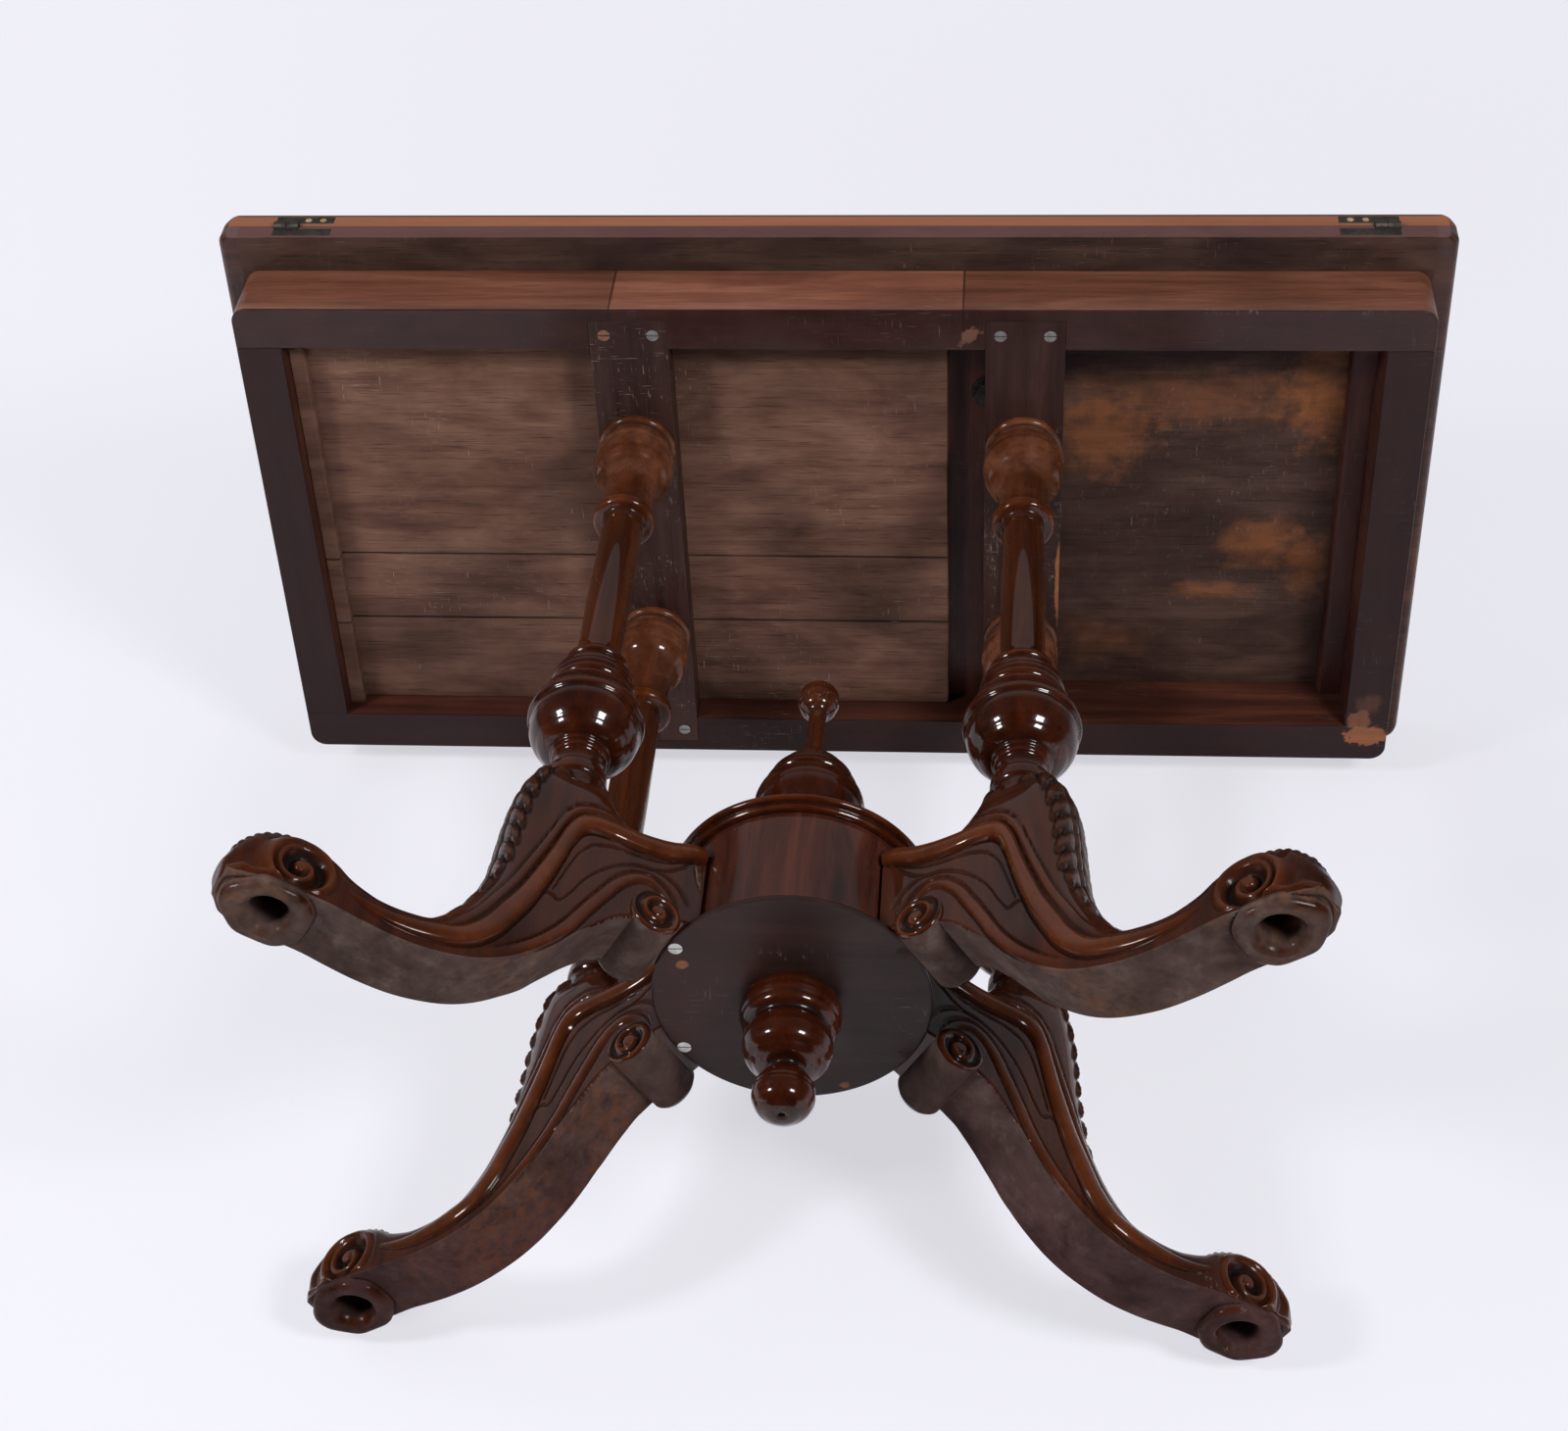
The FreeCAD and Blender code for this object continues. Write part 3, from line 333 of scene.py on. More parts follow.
def wood(name, tones, axis, polish, grain=1.0, dirt=0.35, scuff=0.0, carved=False, bare=None,
         grimy_below=None, dull_below=None, deep_below=None, worn_above=None, spliced=None,
         back_edge=None, sawn=False, seams=(), patches=(), flecks=()):
    """A timber finish. Long noise gives the figure from dark to light tones, finer drawn-out noise the
    streaks and pores, broad noise the handling and dirt. polish is (roughness low, high, coat, coat
    roughness, base gloss). A carved piece gets painted shade in its cuts, and a painted highlight with
    wear on its crests; bare gives the tones of its unpolished underside, darker and redder towards the
    front. Heights in metres say below which the wood is grimy, its polish is kicked dull or its colour is
    deeper, and above which its polish has worn; spliced is a paler length in x, and back_edge the colour
    of the bare edge along the hinges. Sawn boards have longer and calmer streaks and soft mottling, and
    seams are the places in y where two boards meet. Patches are stained, plugged or chipped places, and
    flecks are (centre, half sizes, perhaps a strength) where pale crumbs of old finish cling."""
    f = Finish(name)
    apart = f.apart()
    rough_low, rough_high, coat, coat_rough, base_gloss = polish

    # The figure, streaks and pores of the timber, then its dirt.
    figure = f.noise(f.stretched(along(axis, 26, 1.3 if sawn else 3.2)), 1.0, 5, 0.6, 0.35 if sawn else 1.4)
    streak = f.noise(f.stretched(along(axis, 150, 2.2 if sawn else 5)), 1.0, 6, 0.65, 0.1 if sawn else 0.3)
    pores = f.noise(f.stretched(along(axis, 900, 30)), 1.0, 3, 0.6)
    broad = f.noise(f.coordinates, 7.0, 4, 0.6)
    handling = f.noise(f.coordinates, 34.0, 5, 0.65)
    mixed = f.math("ADD", f.times(figure, 0.62), f.times(streak, 0.38 * grain))
    if sawn:
        mottle = f.noise(f.stretched(along(axis, 34, 11)), 1.0, 5, 0.6, 0.6)
        mixed = f.math("ADD", f.times(mixed, 0.38), f.times(mottle, 0.62))
    colour = f.ramp(f.between(mixed, 0.32, 0.66), tones)
    if sawn:
        bloom = f.between(f.noise(f.coordinates, 13.0, 5, 0.62), 0.5, 0.7)
        colour = f.blend(f.times(bloom, 0.28), colour, shade(tones[2], 0.85, 0.004))
    colour = f.blend(f.times(f.between(pores, 0.56, 0.7), 0.55 * grain), colour, shade(tones[0], 0.35))
    colour = f.blend(f.times(f.between(broad, 0.42, 0.72), dirt), colour, shade(tones[0], 0.4, 0.004))
    rough = f.between(handling, 0.3, 0.75, rough_low, rough_high)

    # Joints, edges, grime and wear at set places.
    if spliced:
        start, end = spliced
        within = f.times(f.between(apart["X"], start - JOINT_HALF, start + JOINT_HALF),
                         f.between(apart["X"], end + JOINT_HALF, end - JOINT_HALF))
        colour = f.blend(within, colour, (1.45, 1.45, 1.5), "MULTIPLY")
        joins = [f.near(apart["X"], place, 0.0011, 0.0004) for place in spliced]
        colour = f.blend(f.times(f.math("MAXIMUM", *joins), 0.8), colour, shade(tones[0], 0.3))
    if back_edge:
        on_back = f.between(apart["Y"], LEAF_BACK - 0.0006, LEAF_BACK - 0.0002)
        under_top = f.between(apart["Z"], LEAF_TOP - 0.0018, LEAF_TOP - 0.0026, 0.1, 1.0)
        edge = f.times(on_back, f.between(mixed, 0.3, 0.68, 0.6, 1.0), under_top)
        colour = f.blend(edge, colour, back_edge)
    for place in seams:
        seam = f.near(apart["Y"], place, 0.0016, 0.0004)
        colour = f.blend(f.times(seam, f.between(broad, 0.3, 0.6, 0.6, 0.95)), colour, shade(tones[0], 0.25))
    if grimy_below:
        grime = f.between(apart["Z"], grimy_below + 0.001, grimy_below)
        colour = f.blend(f.times(grime, f.between(handling, 0.2, 0.8, 0.98, 0.82)), colour, GRIME)
    if worn_above:
        worn_top = f.between(apart["Z"], worn_above, worn_above + 0.06)
        colour = f.blend(f.times(worn_top, f.between(handling, 0.42, 0.68, 0.12, 0.72)), colour, WORN)
    streaks = f.between(mixed, 0.34, 0.58, 0.4, 1.0) if sawn else f.between(streak, 0.35, 0.6, 0.75, 1.0)
    colour = f.patched(colour, patches, streaks)

    # Scratches in some places, and crumbs of old finish.
    if scuff:
        lines = f.noise(f.stretched((60, 900, 900), (0.3, 0.5, 0.65)), 1.0, 2, 0.5)
        fine = f.noise(f.stretched((800, 70, 800), (0.2, 0.1, -0.5)), 1.0, 2, 0.5)
        places = f.between(f.noise(f.coordinates, 11.0, 3, 0.55), 0.5, 0.66)
        marks = f.math("MAXIMUM", f.between(lines, 0.66, 0.72), f.between(fine, 0.67, 0.73))
        marks = f.times(marks, places, scuff)
        colour = f.blend(marks, colour, SCRATCH)
        rough = f.math("ADD", rough, f.times(marks, 0.3))
    for centre, half, *strength in flecks:
        crumbs = f.between(f.noise(f.stretched((420, 130, 300), (0, 0, 0.5)), 1.0, 6, 0.75), 0.56, 0.66)
        clusters = f.between(f.noise(f.coordinates, 95.0, 3, 0.5), 0.46, 0.62)
        crumbs = f.times(crumbs, clusters, f.blot(centre, half, 0.5, 0.5))
        colour = f.blend(f.times(crumbs, *(strength or [0.7])), colour, CRUMBS)
        rough = f.math("ADD", rough, f.times(crumbs, 0.3))

    # Painted shade in the cuts, a painted highlight with wear on the crests, and deeper wood, then the bare
    # underside over them.
    gloss = coat
    if carved:
        cut, crest = f.mark("cut"), f.mark("crest")
        # Painted shade: the cuts are darkened towards a near-black tone, broken by the handling noise.
        colour = f.blend(f.times(cut, f.between(handling, 0.3, 0.6, 0.45, 1.0)), colour, SHADE_IN_CUTS)
        # A painted highlight reddens and lightens every crest; worn patches on the crests lighten it further.
        worn = f.times(crest, f.between(handling, 0.42, 0.62))
        colour = f.blend(f.times(crest, 0.62), colour, CREST_HIGHLIGHT_AND_WEAR)
        colour = f.blend(f.times(worn, 0.35), colour, shade(tones[2], 1.7))
        rough = f.math("ADD", rough, f.times(cut, 0.25))
        gloss = f.between(cut, 0.2, 0.9, coat, 0.35 * coat)
    if deep_below:
        deep = f.between(apart["Z"], deep_below + 0.02, deep_below)
        colour = f.blend(deep, colour, DEEPENED, "MULTIPLY")
    if bare:
        ragged = f.math("ADD", f.mark("bare"), f.between(handling, 0.2, 0.8, -0.22, 0.22))
        share = f.times(f.between(ragged, 0.42, 0.62), f.between(cut, 0.3, 0.85, 1.0, 0.1))
        dry = f.ramp(f.between(mixed, 0.3, 0.7), bare)
        dust = f.between(f.noise(f.coordinates, 60.0, 6, 0.7), 0.52, 0.72)
        dry = f.blend(f.times(dust, 0.42), dry, DUST)
        scraped = f.times(f.between(broad, 0.5, 0.62), f.between(streak, 0.4, 0.6))
        dry = f.blend(f.times(scraped, 0.75), dry, SCRAPED)
        soot = f.between(f.noise(f.coordinates, 19.0, 5, 0.65), 0.5, 0.68)
        dry = f.blend(f.times(soot, 0.6), dry, SOOT)
        # The bare undersides turn darker and redder towards the front legs.
        dry = f.blend(f.between(apart["Y"], -0.03, -0.12), dry, FRONT_DARKENING, "MULTIPLY")
        colour = f.blend(share, colour, dry)
        polished = f.between(share, 0, 1, 1, 0)
        rough = f.math("ADD", f.times(rough, polished), f.times(share, 0.72))
        gloss = f.times(gloss, polished)
    if dull_below:
        kept = f.between(apart["Z"], dull_below - 0.035, dull_below, 0.2, 1.0)
        gloss = f.times(gloss, f.math("MAXIMUM", kept, f.mark("crest")))
    height = f.math("ADD", f.times(streak, 0.6), f.times(pores, 0.4))
    under = f.relief(height, 0.00022 * grain, 0.5)
    return f.surface({
        "Base Color": colour, "Roughness": rough, "Specular IOR Level": base_gloss,
        "Coat Weight": gloss, "Coat Roughness": coat_rough, "Coat IOR": COAT_IOR,
        "Normal": f.relief(handling, 0.00035, 0.25, under)})


def metal(name, tone, tarnish, roughness, spots=0.5, patches=()):
    """A worn metal: its tone broken by blotches of tarnish, with fine drawn scratches in the relief.
    Patches tint single screws."""
    f = Finish(name)
    blotch = f.between(f.noise(f.coordinates, 140.0, 5, 0.65), 0.4, 0.65)
    scratch = f.noise(f.stretched((2400, 300, 2400), (0.2, 0.3, 0.5)), 1.0, 2, 0.5)
    return f.surface({
        "Base Color": f.patched(f.blend(f.times(blotch, spots), tone, tarnish), patches), "Metallic": 1.0,
        "Roughness": f.between(blotch, 0, 1, roughness, roughness + 0.28),
        "Normal": f.relief(scratch, 0.00005, 0.5)})


def cloth(name, deep, pale):
    """Napped wool: two crossed fine waves for the threads under a soft felted noise, with a sheen."""
    f = Finish(name)
    nap = f.noise(f.coordinates, 900.0, 4, 0.7)
    uneven = f.noise(f.coordinates, 9.0, 4, 0.6)
    wave = {"Vector": f.coordinates, "Scale": 420.0, "Distortion": 1.5}
    warp, weft = (f.node("ShaderNodeTexWave", wave, bands_direction=way).outputs["Fac"] for way in "XY")
    mixed = f.math("ADD", f.times(nap, 0.5), f.times(uneven, 0.5))
    return f.surface({
        "Base Color": f.ramp(f.between(mixed, 0.35, 0.65), (deep, pale)), "Roughness": 0.95,
        "Sheen Weight": 0.35, "Sheen Roughness": 0.5,
        "Normal": f.relief(f.math("ADD", f.times(warp, weft), nap), 0.0003, 0.6)})


# Tones of the timbers from dark to light, and of what lies on them
# The crest tone on the next line is a painted highlight, partly wear, laid on carved and turned crests.
CREST_HIGHLIGHT_AND_WEAR, WORN, GRIME = (0.078, 0.0178, 0.0038), (0.205, 0.078, 0.0400), (0.0170, 0.0066, 0.0064)
# The tone for the cuts on the next line is painted shade.
SHADE_IN_CUTS, SCRATCH, CRUMBS = (0.006, 0.0045, 0.004), (0.34, 0.28, 0.25), (0.36, 0.32, 0.28)
DUST, SCRAPED, SOOT = (0.165, 0.134, 0.118), (0.13, 0.056, 0.026), (0.018, 0.0115, 0.0095)
# The second multiplier on the next line darkens and reddens the bare undersides towards the front.
DEEPENED, FRONT_DARKENING = (0.60, 0.48, 0.48), (0.72, 0.56, 0.63)
ORANGE_BARE, OLD_STAIN, DARK_STEEL = (0.30, 0.105, 0.036), (0.31, 0.104, 0.030), (0.030, 0.018, 0.014)
PALE_EDGE, DARK_EDGE = (0.32, 0.108, 0.045), (0.120, 0.058, 0.054)
DRY = ((0.041, 0.0238, 0.0192), (0.081, 0.0515, 0.0435), (0.128, 0.0860, 0.0730))
TURNED_TONES = ((0.019, 0.0048, 0.0019), (0.058, 0.0133, 0.0038), (0.126, 0.0325, 0.0078))
LEG_TONES = ((0.020, 0.0048, 0.0020), (0.047, 0.0104, 0.0034), (0.083, 0.0200, 0.0057))
DRUM_TONES = ((0.014, 0.0044, 0.0028), (0.061, 0.0158, 0.0090), (0.108, 0.0305, 0.0170))
DISC_TONES = ((0.0158, 0.0072, 0.0058), (0.030, 0.0138, 0.0112), (0.051, 0.0240, 0.0188))
RAIL_TONES = ((0.024, 0.0072, 0.0050), (0.057, 0.0172, 0.0112), (0.104, 0.0335, 0.0195))
BACK_RAIL_TONES = ((0.070, 0.0238, 0.0144), (0.154, 0.0565, 0.0330), (0.238, 0.0980, 0.0600))
LEAF_TONES = ((0.016, 0.0052, 0.0034), (0.048, 0.0150, 0.0080), (0.095, 0.0320, 0.0140))
EDGE_TONES = ((0.040, 0.0125, 0.0058), (0.105, 0.0330, 0.0135), (0.190, 0.0660, 0.0280))
BEARER_TONES = ((0.0155, 0.0064, 0.0050), (0.034, 0.0140, 0.0108), (0.060, 0.0258, 0.0190))
WELL_TONES = ((0.050, 0.0215, 0.0140), (0.118, 0.0560, 0.0370), (0.205, 0.1080, 0.0730))
UNDERSIDE_TONES = ((0.018, 0.0085, 0.0066), (0.047, 0.0225, 0.0168), (0.088, 0.0460, 0.0335))
BEECH_TONES = ((0.12, 0.06, 0.03), (0.25, 0.14, 0.07), (0.38, 0.24, 0.13))

# Polishes: roughness low and high, coat, coat roughness, base gloss
GLOSS = (0.16, 0.34, 0.64, 0.045, 0.06)
DRUM_POLISH = (0.22, 0.40, 0.55, 0.12, 0.10)
LEAF_POLISH = (0.26, 0.44, 0.45, 0.10, 0.12)
EDGE_POLISH = (0.30, 0.48, 0.35, 0.12, 0.12)
BACK_POLISH = (0.30, 0.48, 0.30, 0.12, 0.12)
SATIN = (0.36, 0.58, 0.10, 0.22, 0.15)
DISC_POLISH = (0.38, 0.55, 0.10, 0.25, 0.15)
BEARER_POLISH = (0.42, 0.62, 0.06, 0.30, 0.16)
MATTE = (0.60, 0.82, 0.0, 0.50, 0.15)
UNDERSIDE_MATTE = (0.55, 0.80, 0.0, 0.50, 0.15)
BEECH_MATTE = (0.5, 0.7, 0.0, 0.5, 0.3)

# Places in metres: the frame's bottom and where its grime ends, the lower leaf's underside, the disc's
# face, the leaves' back and top, and half the width of a joint
BOTTOM, RAIL_BOTTOM, UNDERSIDE, DISC_FACE = 0.604, 0.6046, 0.659, 0.116
LEAF_BACK, LEAF_TOP, JOINT_HALF = 0.239, 0.691, 0.0003
CORNER_CHIP = [
    ((-0.421, -0.186, BOTTOM), (0.016, 0.0105, 0.02), (0.30, 0.105, 0.044), 0.85, 0.08, 0.55),
    ((-0.417, -0.172, BOTTOM), (0.009, 0.0110, 0.02), (0.21, 0.078, 0.038), 0.75, 0.15, 0.6),
    ((-0.420, -0.154, BOTTOM), (0.010, 0.0120, 0.02), (0.14, 0.056, 0.034), 0.45, 0.35, 0.7),
]
STAINS = [
    ((x, y, UNDERSIDE), (half_x, half_y, 0.03), OLD_STAIN, 0.66 * strength, 0.6, 0.6)
    for x, y, half_x, half_y, strength in (
        (-0.206, 0.063, 0.030, 0.027, 0.80), (-0.275, 0.100, 0.085, 0.020, 0.42),
        (-0.369, 0.101, 0.020, 0.036, 0.85), (-0.332, -0.035, 0.028, 0.018, 0.75),
        (-0.292, -0.083, 0.026, 0.007, 0.55), (-0.369, -0.055, 0.014, 0.026, 0.65),
        (-0.212, -0.133, 0.028, 0.017, 0.30))
]
DISC_PATCHES = [
    ((0.062, 0.0, DISC_FACE), (0.045, 0.075, 0.02), (0.052, 0.0165, 0.0115), 0.55, 0.6),
    ((0.068, 0.031, DISC_FACE), (0.0036, 0.0034, 0.01), ORANGE_BARE, 0.85, 0.2, 0.5),
    ((-0.031, -0.078, DISC_FACE), (0.0040, 0.0030, 0.01), ORANGE_BARE, 0.7, 0.25, 0.6),
]
BACK_RAIL_CHIP = ((-0.107, 0.188, BOTTOM), (0.007, 0.006, 0.01), (0.17, 0.080, 0.052), 0.8, 0.2, 1.2)
BEARER_SPLINTER = ((-0.1738, -0.037, 0.606), (0.0028, 0.040, 0.012), ORANGE_BARE, 0.85, 0.2)
BEARER_CRUMBS = [
    ((x, y, BOTTOM), (half_x, half_y, 0.02)) for x, y, half_x, half_y in (
        (-0.169, -0.020, 0.007, 0.080), (-0.121, 0.010, 0.005, 0.075), (0.135, -0.030, 0.014, 0.018),
        (0.122, 0.050, 0.005, 0.045), (0.168, 0.085, 0.005, 0.040))
]

turned_walnut = wood("turned walnut", TURNED_TONES, "z", GLOSS, grain=0.7, carved=True,
                     deep_below=0.34, worn_above=0.51, flecks=[((0.0, 0.008, 0.415), (0.014, 0.012, 0.014))])
leg_walnut = wood("carved leg walnut", LEG_TONES, "z", GLOSS, grain=0.6, carved=True, bare=DRY,
                  dull_below=0.07,
                  flecks=[((-0.262, -0.164, 0.008), (0.030, 0.026, 0.010)),
                          ((-0.300, -0.188, 0.002), (0.030, 0.026, 0.006))])
drum_walnut = wood("drum walnut", DRUM_TONES, "z", DRUM_POLISH, grain=0.6, carved=True)
disc_walnut = wood("disc walnut", DISC_TONES, "x", DISC_POLISH, grain=0.5, scuff=0.4, dirt=0.5,
                   patches=DISC_PATCHES, flecks=[((0.004, 0.043, DISC_FACE), (0.022, 0.006, 0.01))])
frame_walnut, end_walnut = (
    wood(name, RAIL_TONES, axis, SATIN, scuff=0.25, grimy_below=RAIL_BOTTOM, patches=CORNER_CHIP)
    for name, axis in (("frame walnut", "x"), ("frame end walnut", "y")))
back_walnut = wood("back rail walnut", BACK_RAIL_TONES, "x", BACK_POLISH, scuff=0.2, grimy_below=RAIL_BOTTOM,
                   spliced=(-0.10, 0.158), patches=[BACK_RAIL_CHIP],
                   flecks=[((-0.33, 0.211, BOTTOM), (0.06, 0.004, 0.003))])
leaf_walnut = wood("leaf walnut", LEAF_TONES, "x", LEAF_POLISH, scuff=0.15, back_edge=PALE_EDGE)
edge_walnut = wood("leaf edge walnut", EDGE_TONES, "x", EDGE_POLISH, scuff=0.15, back_edge=PALE_EDGE)
dark_edge_walnut = wood("lower leaf edge walnut", LEAF_TONES, "x", LEAF_POLISH, scuff=0.15,
                        back_edge=DARK_EDGE)
bearer_walnut = wood("bearer walnut", BEARER_TONES, "y", BEARER_POLISH, scuff=0.5, dirt=0.45,
                     patches=[BEARER_SPLINTER], flecks=BEARER_CRUMBS)
well_boards = wood("dry well boards", WELL_TONES, "x", MATTE, grain=1.25, dirt=0.58, scuff=0.6, sawn=True,
                   seams=[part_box("back_well_board")[0][1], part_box("front_well_board")[1][1]])
leaf_underside = wood("dark leaf underside", UNDERSIDE_TONES, "x", UNDERSIDE_MATTE, grain=1.2, dirt=0.5,
                      scuff=0.22, sawn=True, patches=STAINS, back_edge=DARK_EDGE,
                      flecks=[((-0.29, 0.02, UNDERSIDE), (0.11, 0.13, 0.02), 0.22)])
dowel_beech = wood("dowel beech", BEECH_TONES, "x", BEECH_MATTE)
baize = cloth("green baize", (0.012, 0.05, 0.02), (0.03, 0.1, 0.04))
hinge_bronze = metal("aged hinge bronze", (0.115, 0.098, 0.086), (0.040, 0.034, 0.030), 0.58, 0.7)
hinge_brass = metal("hinge screw brass", (0.90, 0.70, 0.36), (0.60, 0.42, 0.18), 0.25, 0.4,
                    [((side * 0.4062, LEAF_BACK, 0.683), (0.005, 0.02, 0.02), (0.045, 0.038, 0.033), 1.0, 0.1)
                     for side in (-1, 1)])
bearer_steel = metal("worn bearer screw steel", (0.42, 0.41, 0.40), (0.16, 0.13, 0.11), 0.36, 0.5,
                     [((0.165, 0.190, BOTTOM), (0.012, 0.012, 0.02), (0.30, 0.13, 0.075), 0.9, 0.1)])
disc_steel = metal("worn disc screw steel", (0.66, 0.65, 0.62), (0.30, 0.26, 0.22), 0.30, 0.4,
                   [((-0.072, side * 0.045, DISC_FACE), (0.02, 0.02, 0.02), DARK_STEEL, 1.0, 0.1)
                    for side in (-1, 1)])
pivot_iron = metal("dark pivot iron", (0.05, 0.045, 0.04), (0.02, 0.014, 0.01), 0.45, 0.6)


# Turned pieces
ARC_STEPS = 24
BROAD_POINTS, MARK_DEPTH = 19, 1.6


def profile_line(steps, spacing=0.7, spread=0.55):
    """A turner's profile as (radius, height) points. Each step is a point with the sag of the arc that
    leads to it: a sag of h over a chord of length c follows h times 4f(1-f) to the right of the chord.
    The line is then sampled evenly and its corners eased by a bell-shaped average."""
    points = [np.array(steps[0][:2], float)[None, :]]
    share = np.linspace(0, 1, ARC_STEPS + 1)[1:, None]
    for before, step in zip(steps[:-1], steps[1:]):
        low, high = np.array(before[:2], float), np.array(step[:2], float)
        sag = step[2] if len(step) > 2 else 0.0
        chord = high - low
        right = np.array([chord[1], -chord[0]]) / max(np.hypot(*chord), 1e-9)
        points.append(low + chord * share + right * (sag * 4 * share * (1 - share)))
    line = np.concatenate(points)
    at = run_along(line)
    even = np.linspace(0, at[-1], max(8, int(at[-1] / spacing)))
    line = np.stack([np.interp(even, at, line[:, 0]), np.interp(even, at, line[:, 1])], 1)
    reach = int(4 * spread / spacing) + 1
    bell = hump(np.arange(-reach, reach + 1) * spacing, 0, spread * ROOT_TWO)
    eased = np.stack([averaged(line[:, k], bell / bell.sum()) for k in (0, 1)], 1)
    eased[0], eased[-1] = line[0], line[-1]
    return eased


def turn_marks(line):
    """How deep each profile point lies in a cut, and how far out on a crest: the profile's radius less
    its own broad average, below and above nothing."""
    away = line[:, 0] - averaged(line[:, 0], np.ones(BROAD_POINTS) / BROAD_POINTS)
    return np.clip(-away / MARK_DEPTH - 0.15, 0, 1), np.clip(away / MARK_DEPTH - 0.1, 0, 1)


def turned(name, node, steps, finish, centre=(0, 0), sides=160, spacing=0.7):
    """A profile carried round an upright axis: x = cx + r cos a, y = cy + r sin a, z as in the profile."""
    line = profile_line(steps, spacing)
    cos, sin = circle(sides)
    radius, height = line[:, :1], np.broadcast_to(line[:, 1:], (len(line), sides))
    points = np.stack([centre[0] + radius * cos, centre[1] + radius * sin, height], -1)
    cut, crest = turn_marks(line)
    marks = {"cut": np.repeat(cut, sides), "crest": np.repeat(crest, sides)}
    put_mesh(name, [closed_grid(points)], finish, "stand", (node,), marks)


COLUMN_AT = (145.02, 90.62)
COLUMN = [
    (17.5, 193), (19.4, 193.4), (19.9, 196), (19.5, 211), (18.9, 213.4), (20.2, 215.3),
    (20.7, 217.5, 0.4), (20.6, 223, 0.2), (18.6, 226.2, 0.8), (17.0, 227.2), (15.2, 230.5, -0.7),
    (15.4, 236.5, -0.3), (17.3, 240.2, -0.5), (18.4, 241.6, 0.5), (17.8, 243.4, 0.5), (19.2, 244.4),
    (20.4, 246.0, 0.4), (19.8, 247.4, 0.3), (30.5, 255.5, 1.4), (36.9, 268, 1.2),
    (37.4, 276.2, 0.5), (37.6, 277.4, -0.3), (38.7, 278.2), (39.3, 281.5, 0.5), (38.4, 285.2, 0.6),
    (34.6, 291.2, 0.7), (32.4, 293.4, -0.3), (32.2, 295.0, -0.3), (32.6, 296.0), (33.0, 299.2, 0.7),
    (30.6, 301.8, 0.7), (27.0, 303.0), (24.2, 304.4, -0.4), (24.0, 305.8, -0.2), (25.4, 307.0),
    (28.0, 312.4, 1.1), (28.2, 319.0, 0.8), (26.0, 326.0, 0.9), (22.0, 330.2, 0.7), (20.8, 331.2, -0.2),
    (20.6, 332.6, -0.3), (22.0, 333.6), (22.9, 337.0, 0.7), (20.6, 340.4, 0.8), (17.4, 341.6),
    (15.6, 344.6, -0.9), (15.1, 352), (15.5, 420, 0.2), (14.9, 497), (15.4, 502.4, -0.3), (17.8, 504.4, -0.6),
    (20.2, 505.0), (22.4, 509.2, 1.0), (21.4, 514.0, 0.9), (18.8, 516.4), (18.0, 518.4, -0.3),
    (17.9, 530, -0.2), (18.6, 542, -0.2), (20.6, 551, -0.7), (25.2, 559.5, -0.4), (28.6, 569, 1.2),
    (29.4, 581, 0.9), (28.0, 591, 0.9), (25.6, 597.6, 0.6), (25.4, 598.4),
    (27.6, 599.0), (28.9, 601, 0.4), (28.6, 603.8),
]
FINIAL = [
    (22, 218.2), (24, 219.5, 0.5), (24, 226.5, 0.6), (22, 228.2), (18.5, 236, -1.6), (17.4, 254, -0.5),
    (20.5, 262, -1.0), (22.6, 264.4), (23.6, 266.8, 0.5), (23.2, 268.8), (33.6, 280.5, 2.1), (37.9, 296, 1.3),
    (37.4, 304.6, 0.6), (34.4, 311.0, 0.5), (32.0, 312.6), (31.4, 313.8, -0.2), (32.4, 314.8),
    (32.8, 317.4, 0.5), (31.0, 319.6, 0.5), (28.8, 320.6), (25.4, 331, 2.4), (16.8, 342.5, 1.6),
    (9.5, 349.2, 0.5), (7.2, 353.8, -0.8), (6.3, 361, -0.3), (6.1, 387), (6.5, 397.5, -0.2),
    (8.2, 401.4, -0.4), (9.2, 402.4), (13.6, 409.4, 1.0), (14.5, 416.4, 0.8), (12.0, 424.4, 1.1),
    (5.6, 429.6, 0.9), (0.4, 430.5, 0.2),
]
PENDANT = [
    (0.4, 23.4), (1.9, 22.6), (2.3, 18.9), (3.6, 18.3, 0.2), (12.6, 21.6, 1.1), (18.6, 29.2, 1.1),
    (19.7, 36.6, 0.8), (17.4, 44.6, 0.9), (11.6, 51.0, 0.9), (9.8, 53.0, -0.2), (9.8, 55.6, -0.4),
    (11.6, 57.2, -0.3), (22.0, 62.6, 1.5), (28.0, 70.6, 1.1), (28.7, 77.4, 0.7), (27.0, 84.0, 0.6),
    (25.4, 86.8, 0.2), (25.2, 88.4, -0.3), (27.2, 90.6, -0.2), (31.2, 96.4, 1.0), (32.6, 103.4, 0.9),
    (31.2, 110.4, 0.9), (28.4, 114.6, 0.6), (27.2, 115.9),
]
DRUM = [(78.6, 125.0), (79.6, 125.6, 0.2), (80.0, 127), (80.0, 204.5), (79.4, 206.2), (79.4, 208.0)]
RIM = [
    (79.0, 208.0), (81.6, 208.2), (83.6, 209.2, 0.5), (84.2, 211.2, 0.5), (83.8, 212.2), (84.6, 212.8),
    (87.0, 213.6, 0.3), (88.0, 215.6, 0.5), (87.0, 217.6, 0.6), (84.8, 218.0), (60, 218.0), (20, 218.0),
]
DISC = [
    (20, 116.2), (60, 116.2), (88.9, 116.2), (90.2, 116.7, 0.2), (90.5, 117.8, 0.2), (90.3, 119.6),
    (89.4, 120.4, 0.3), (81.2, 120.9), (80.2, 121.6, -0.3), (80.0, 124.9), (70, 125.0),
]

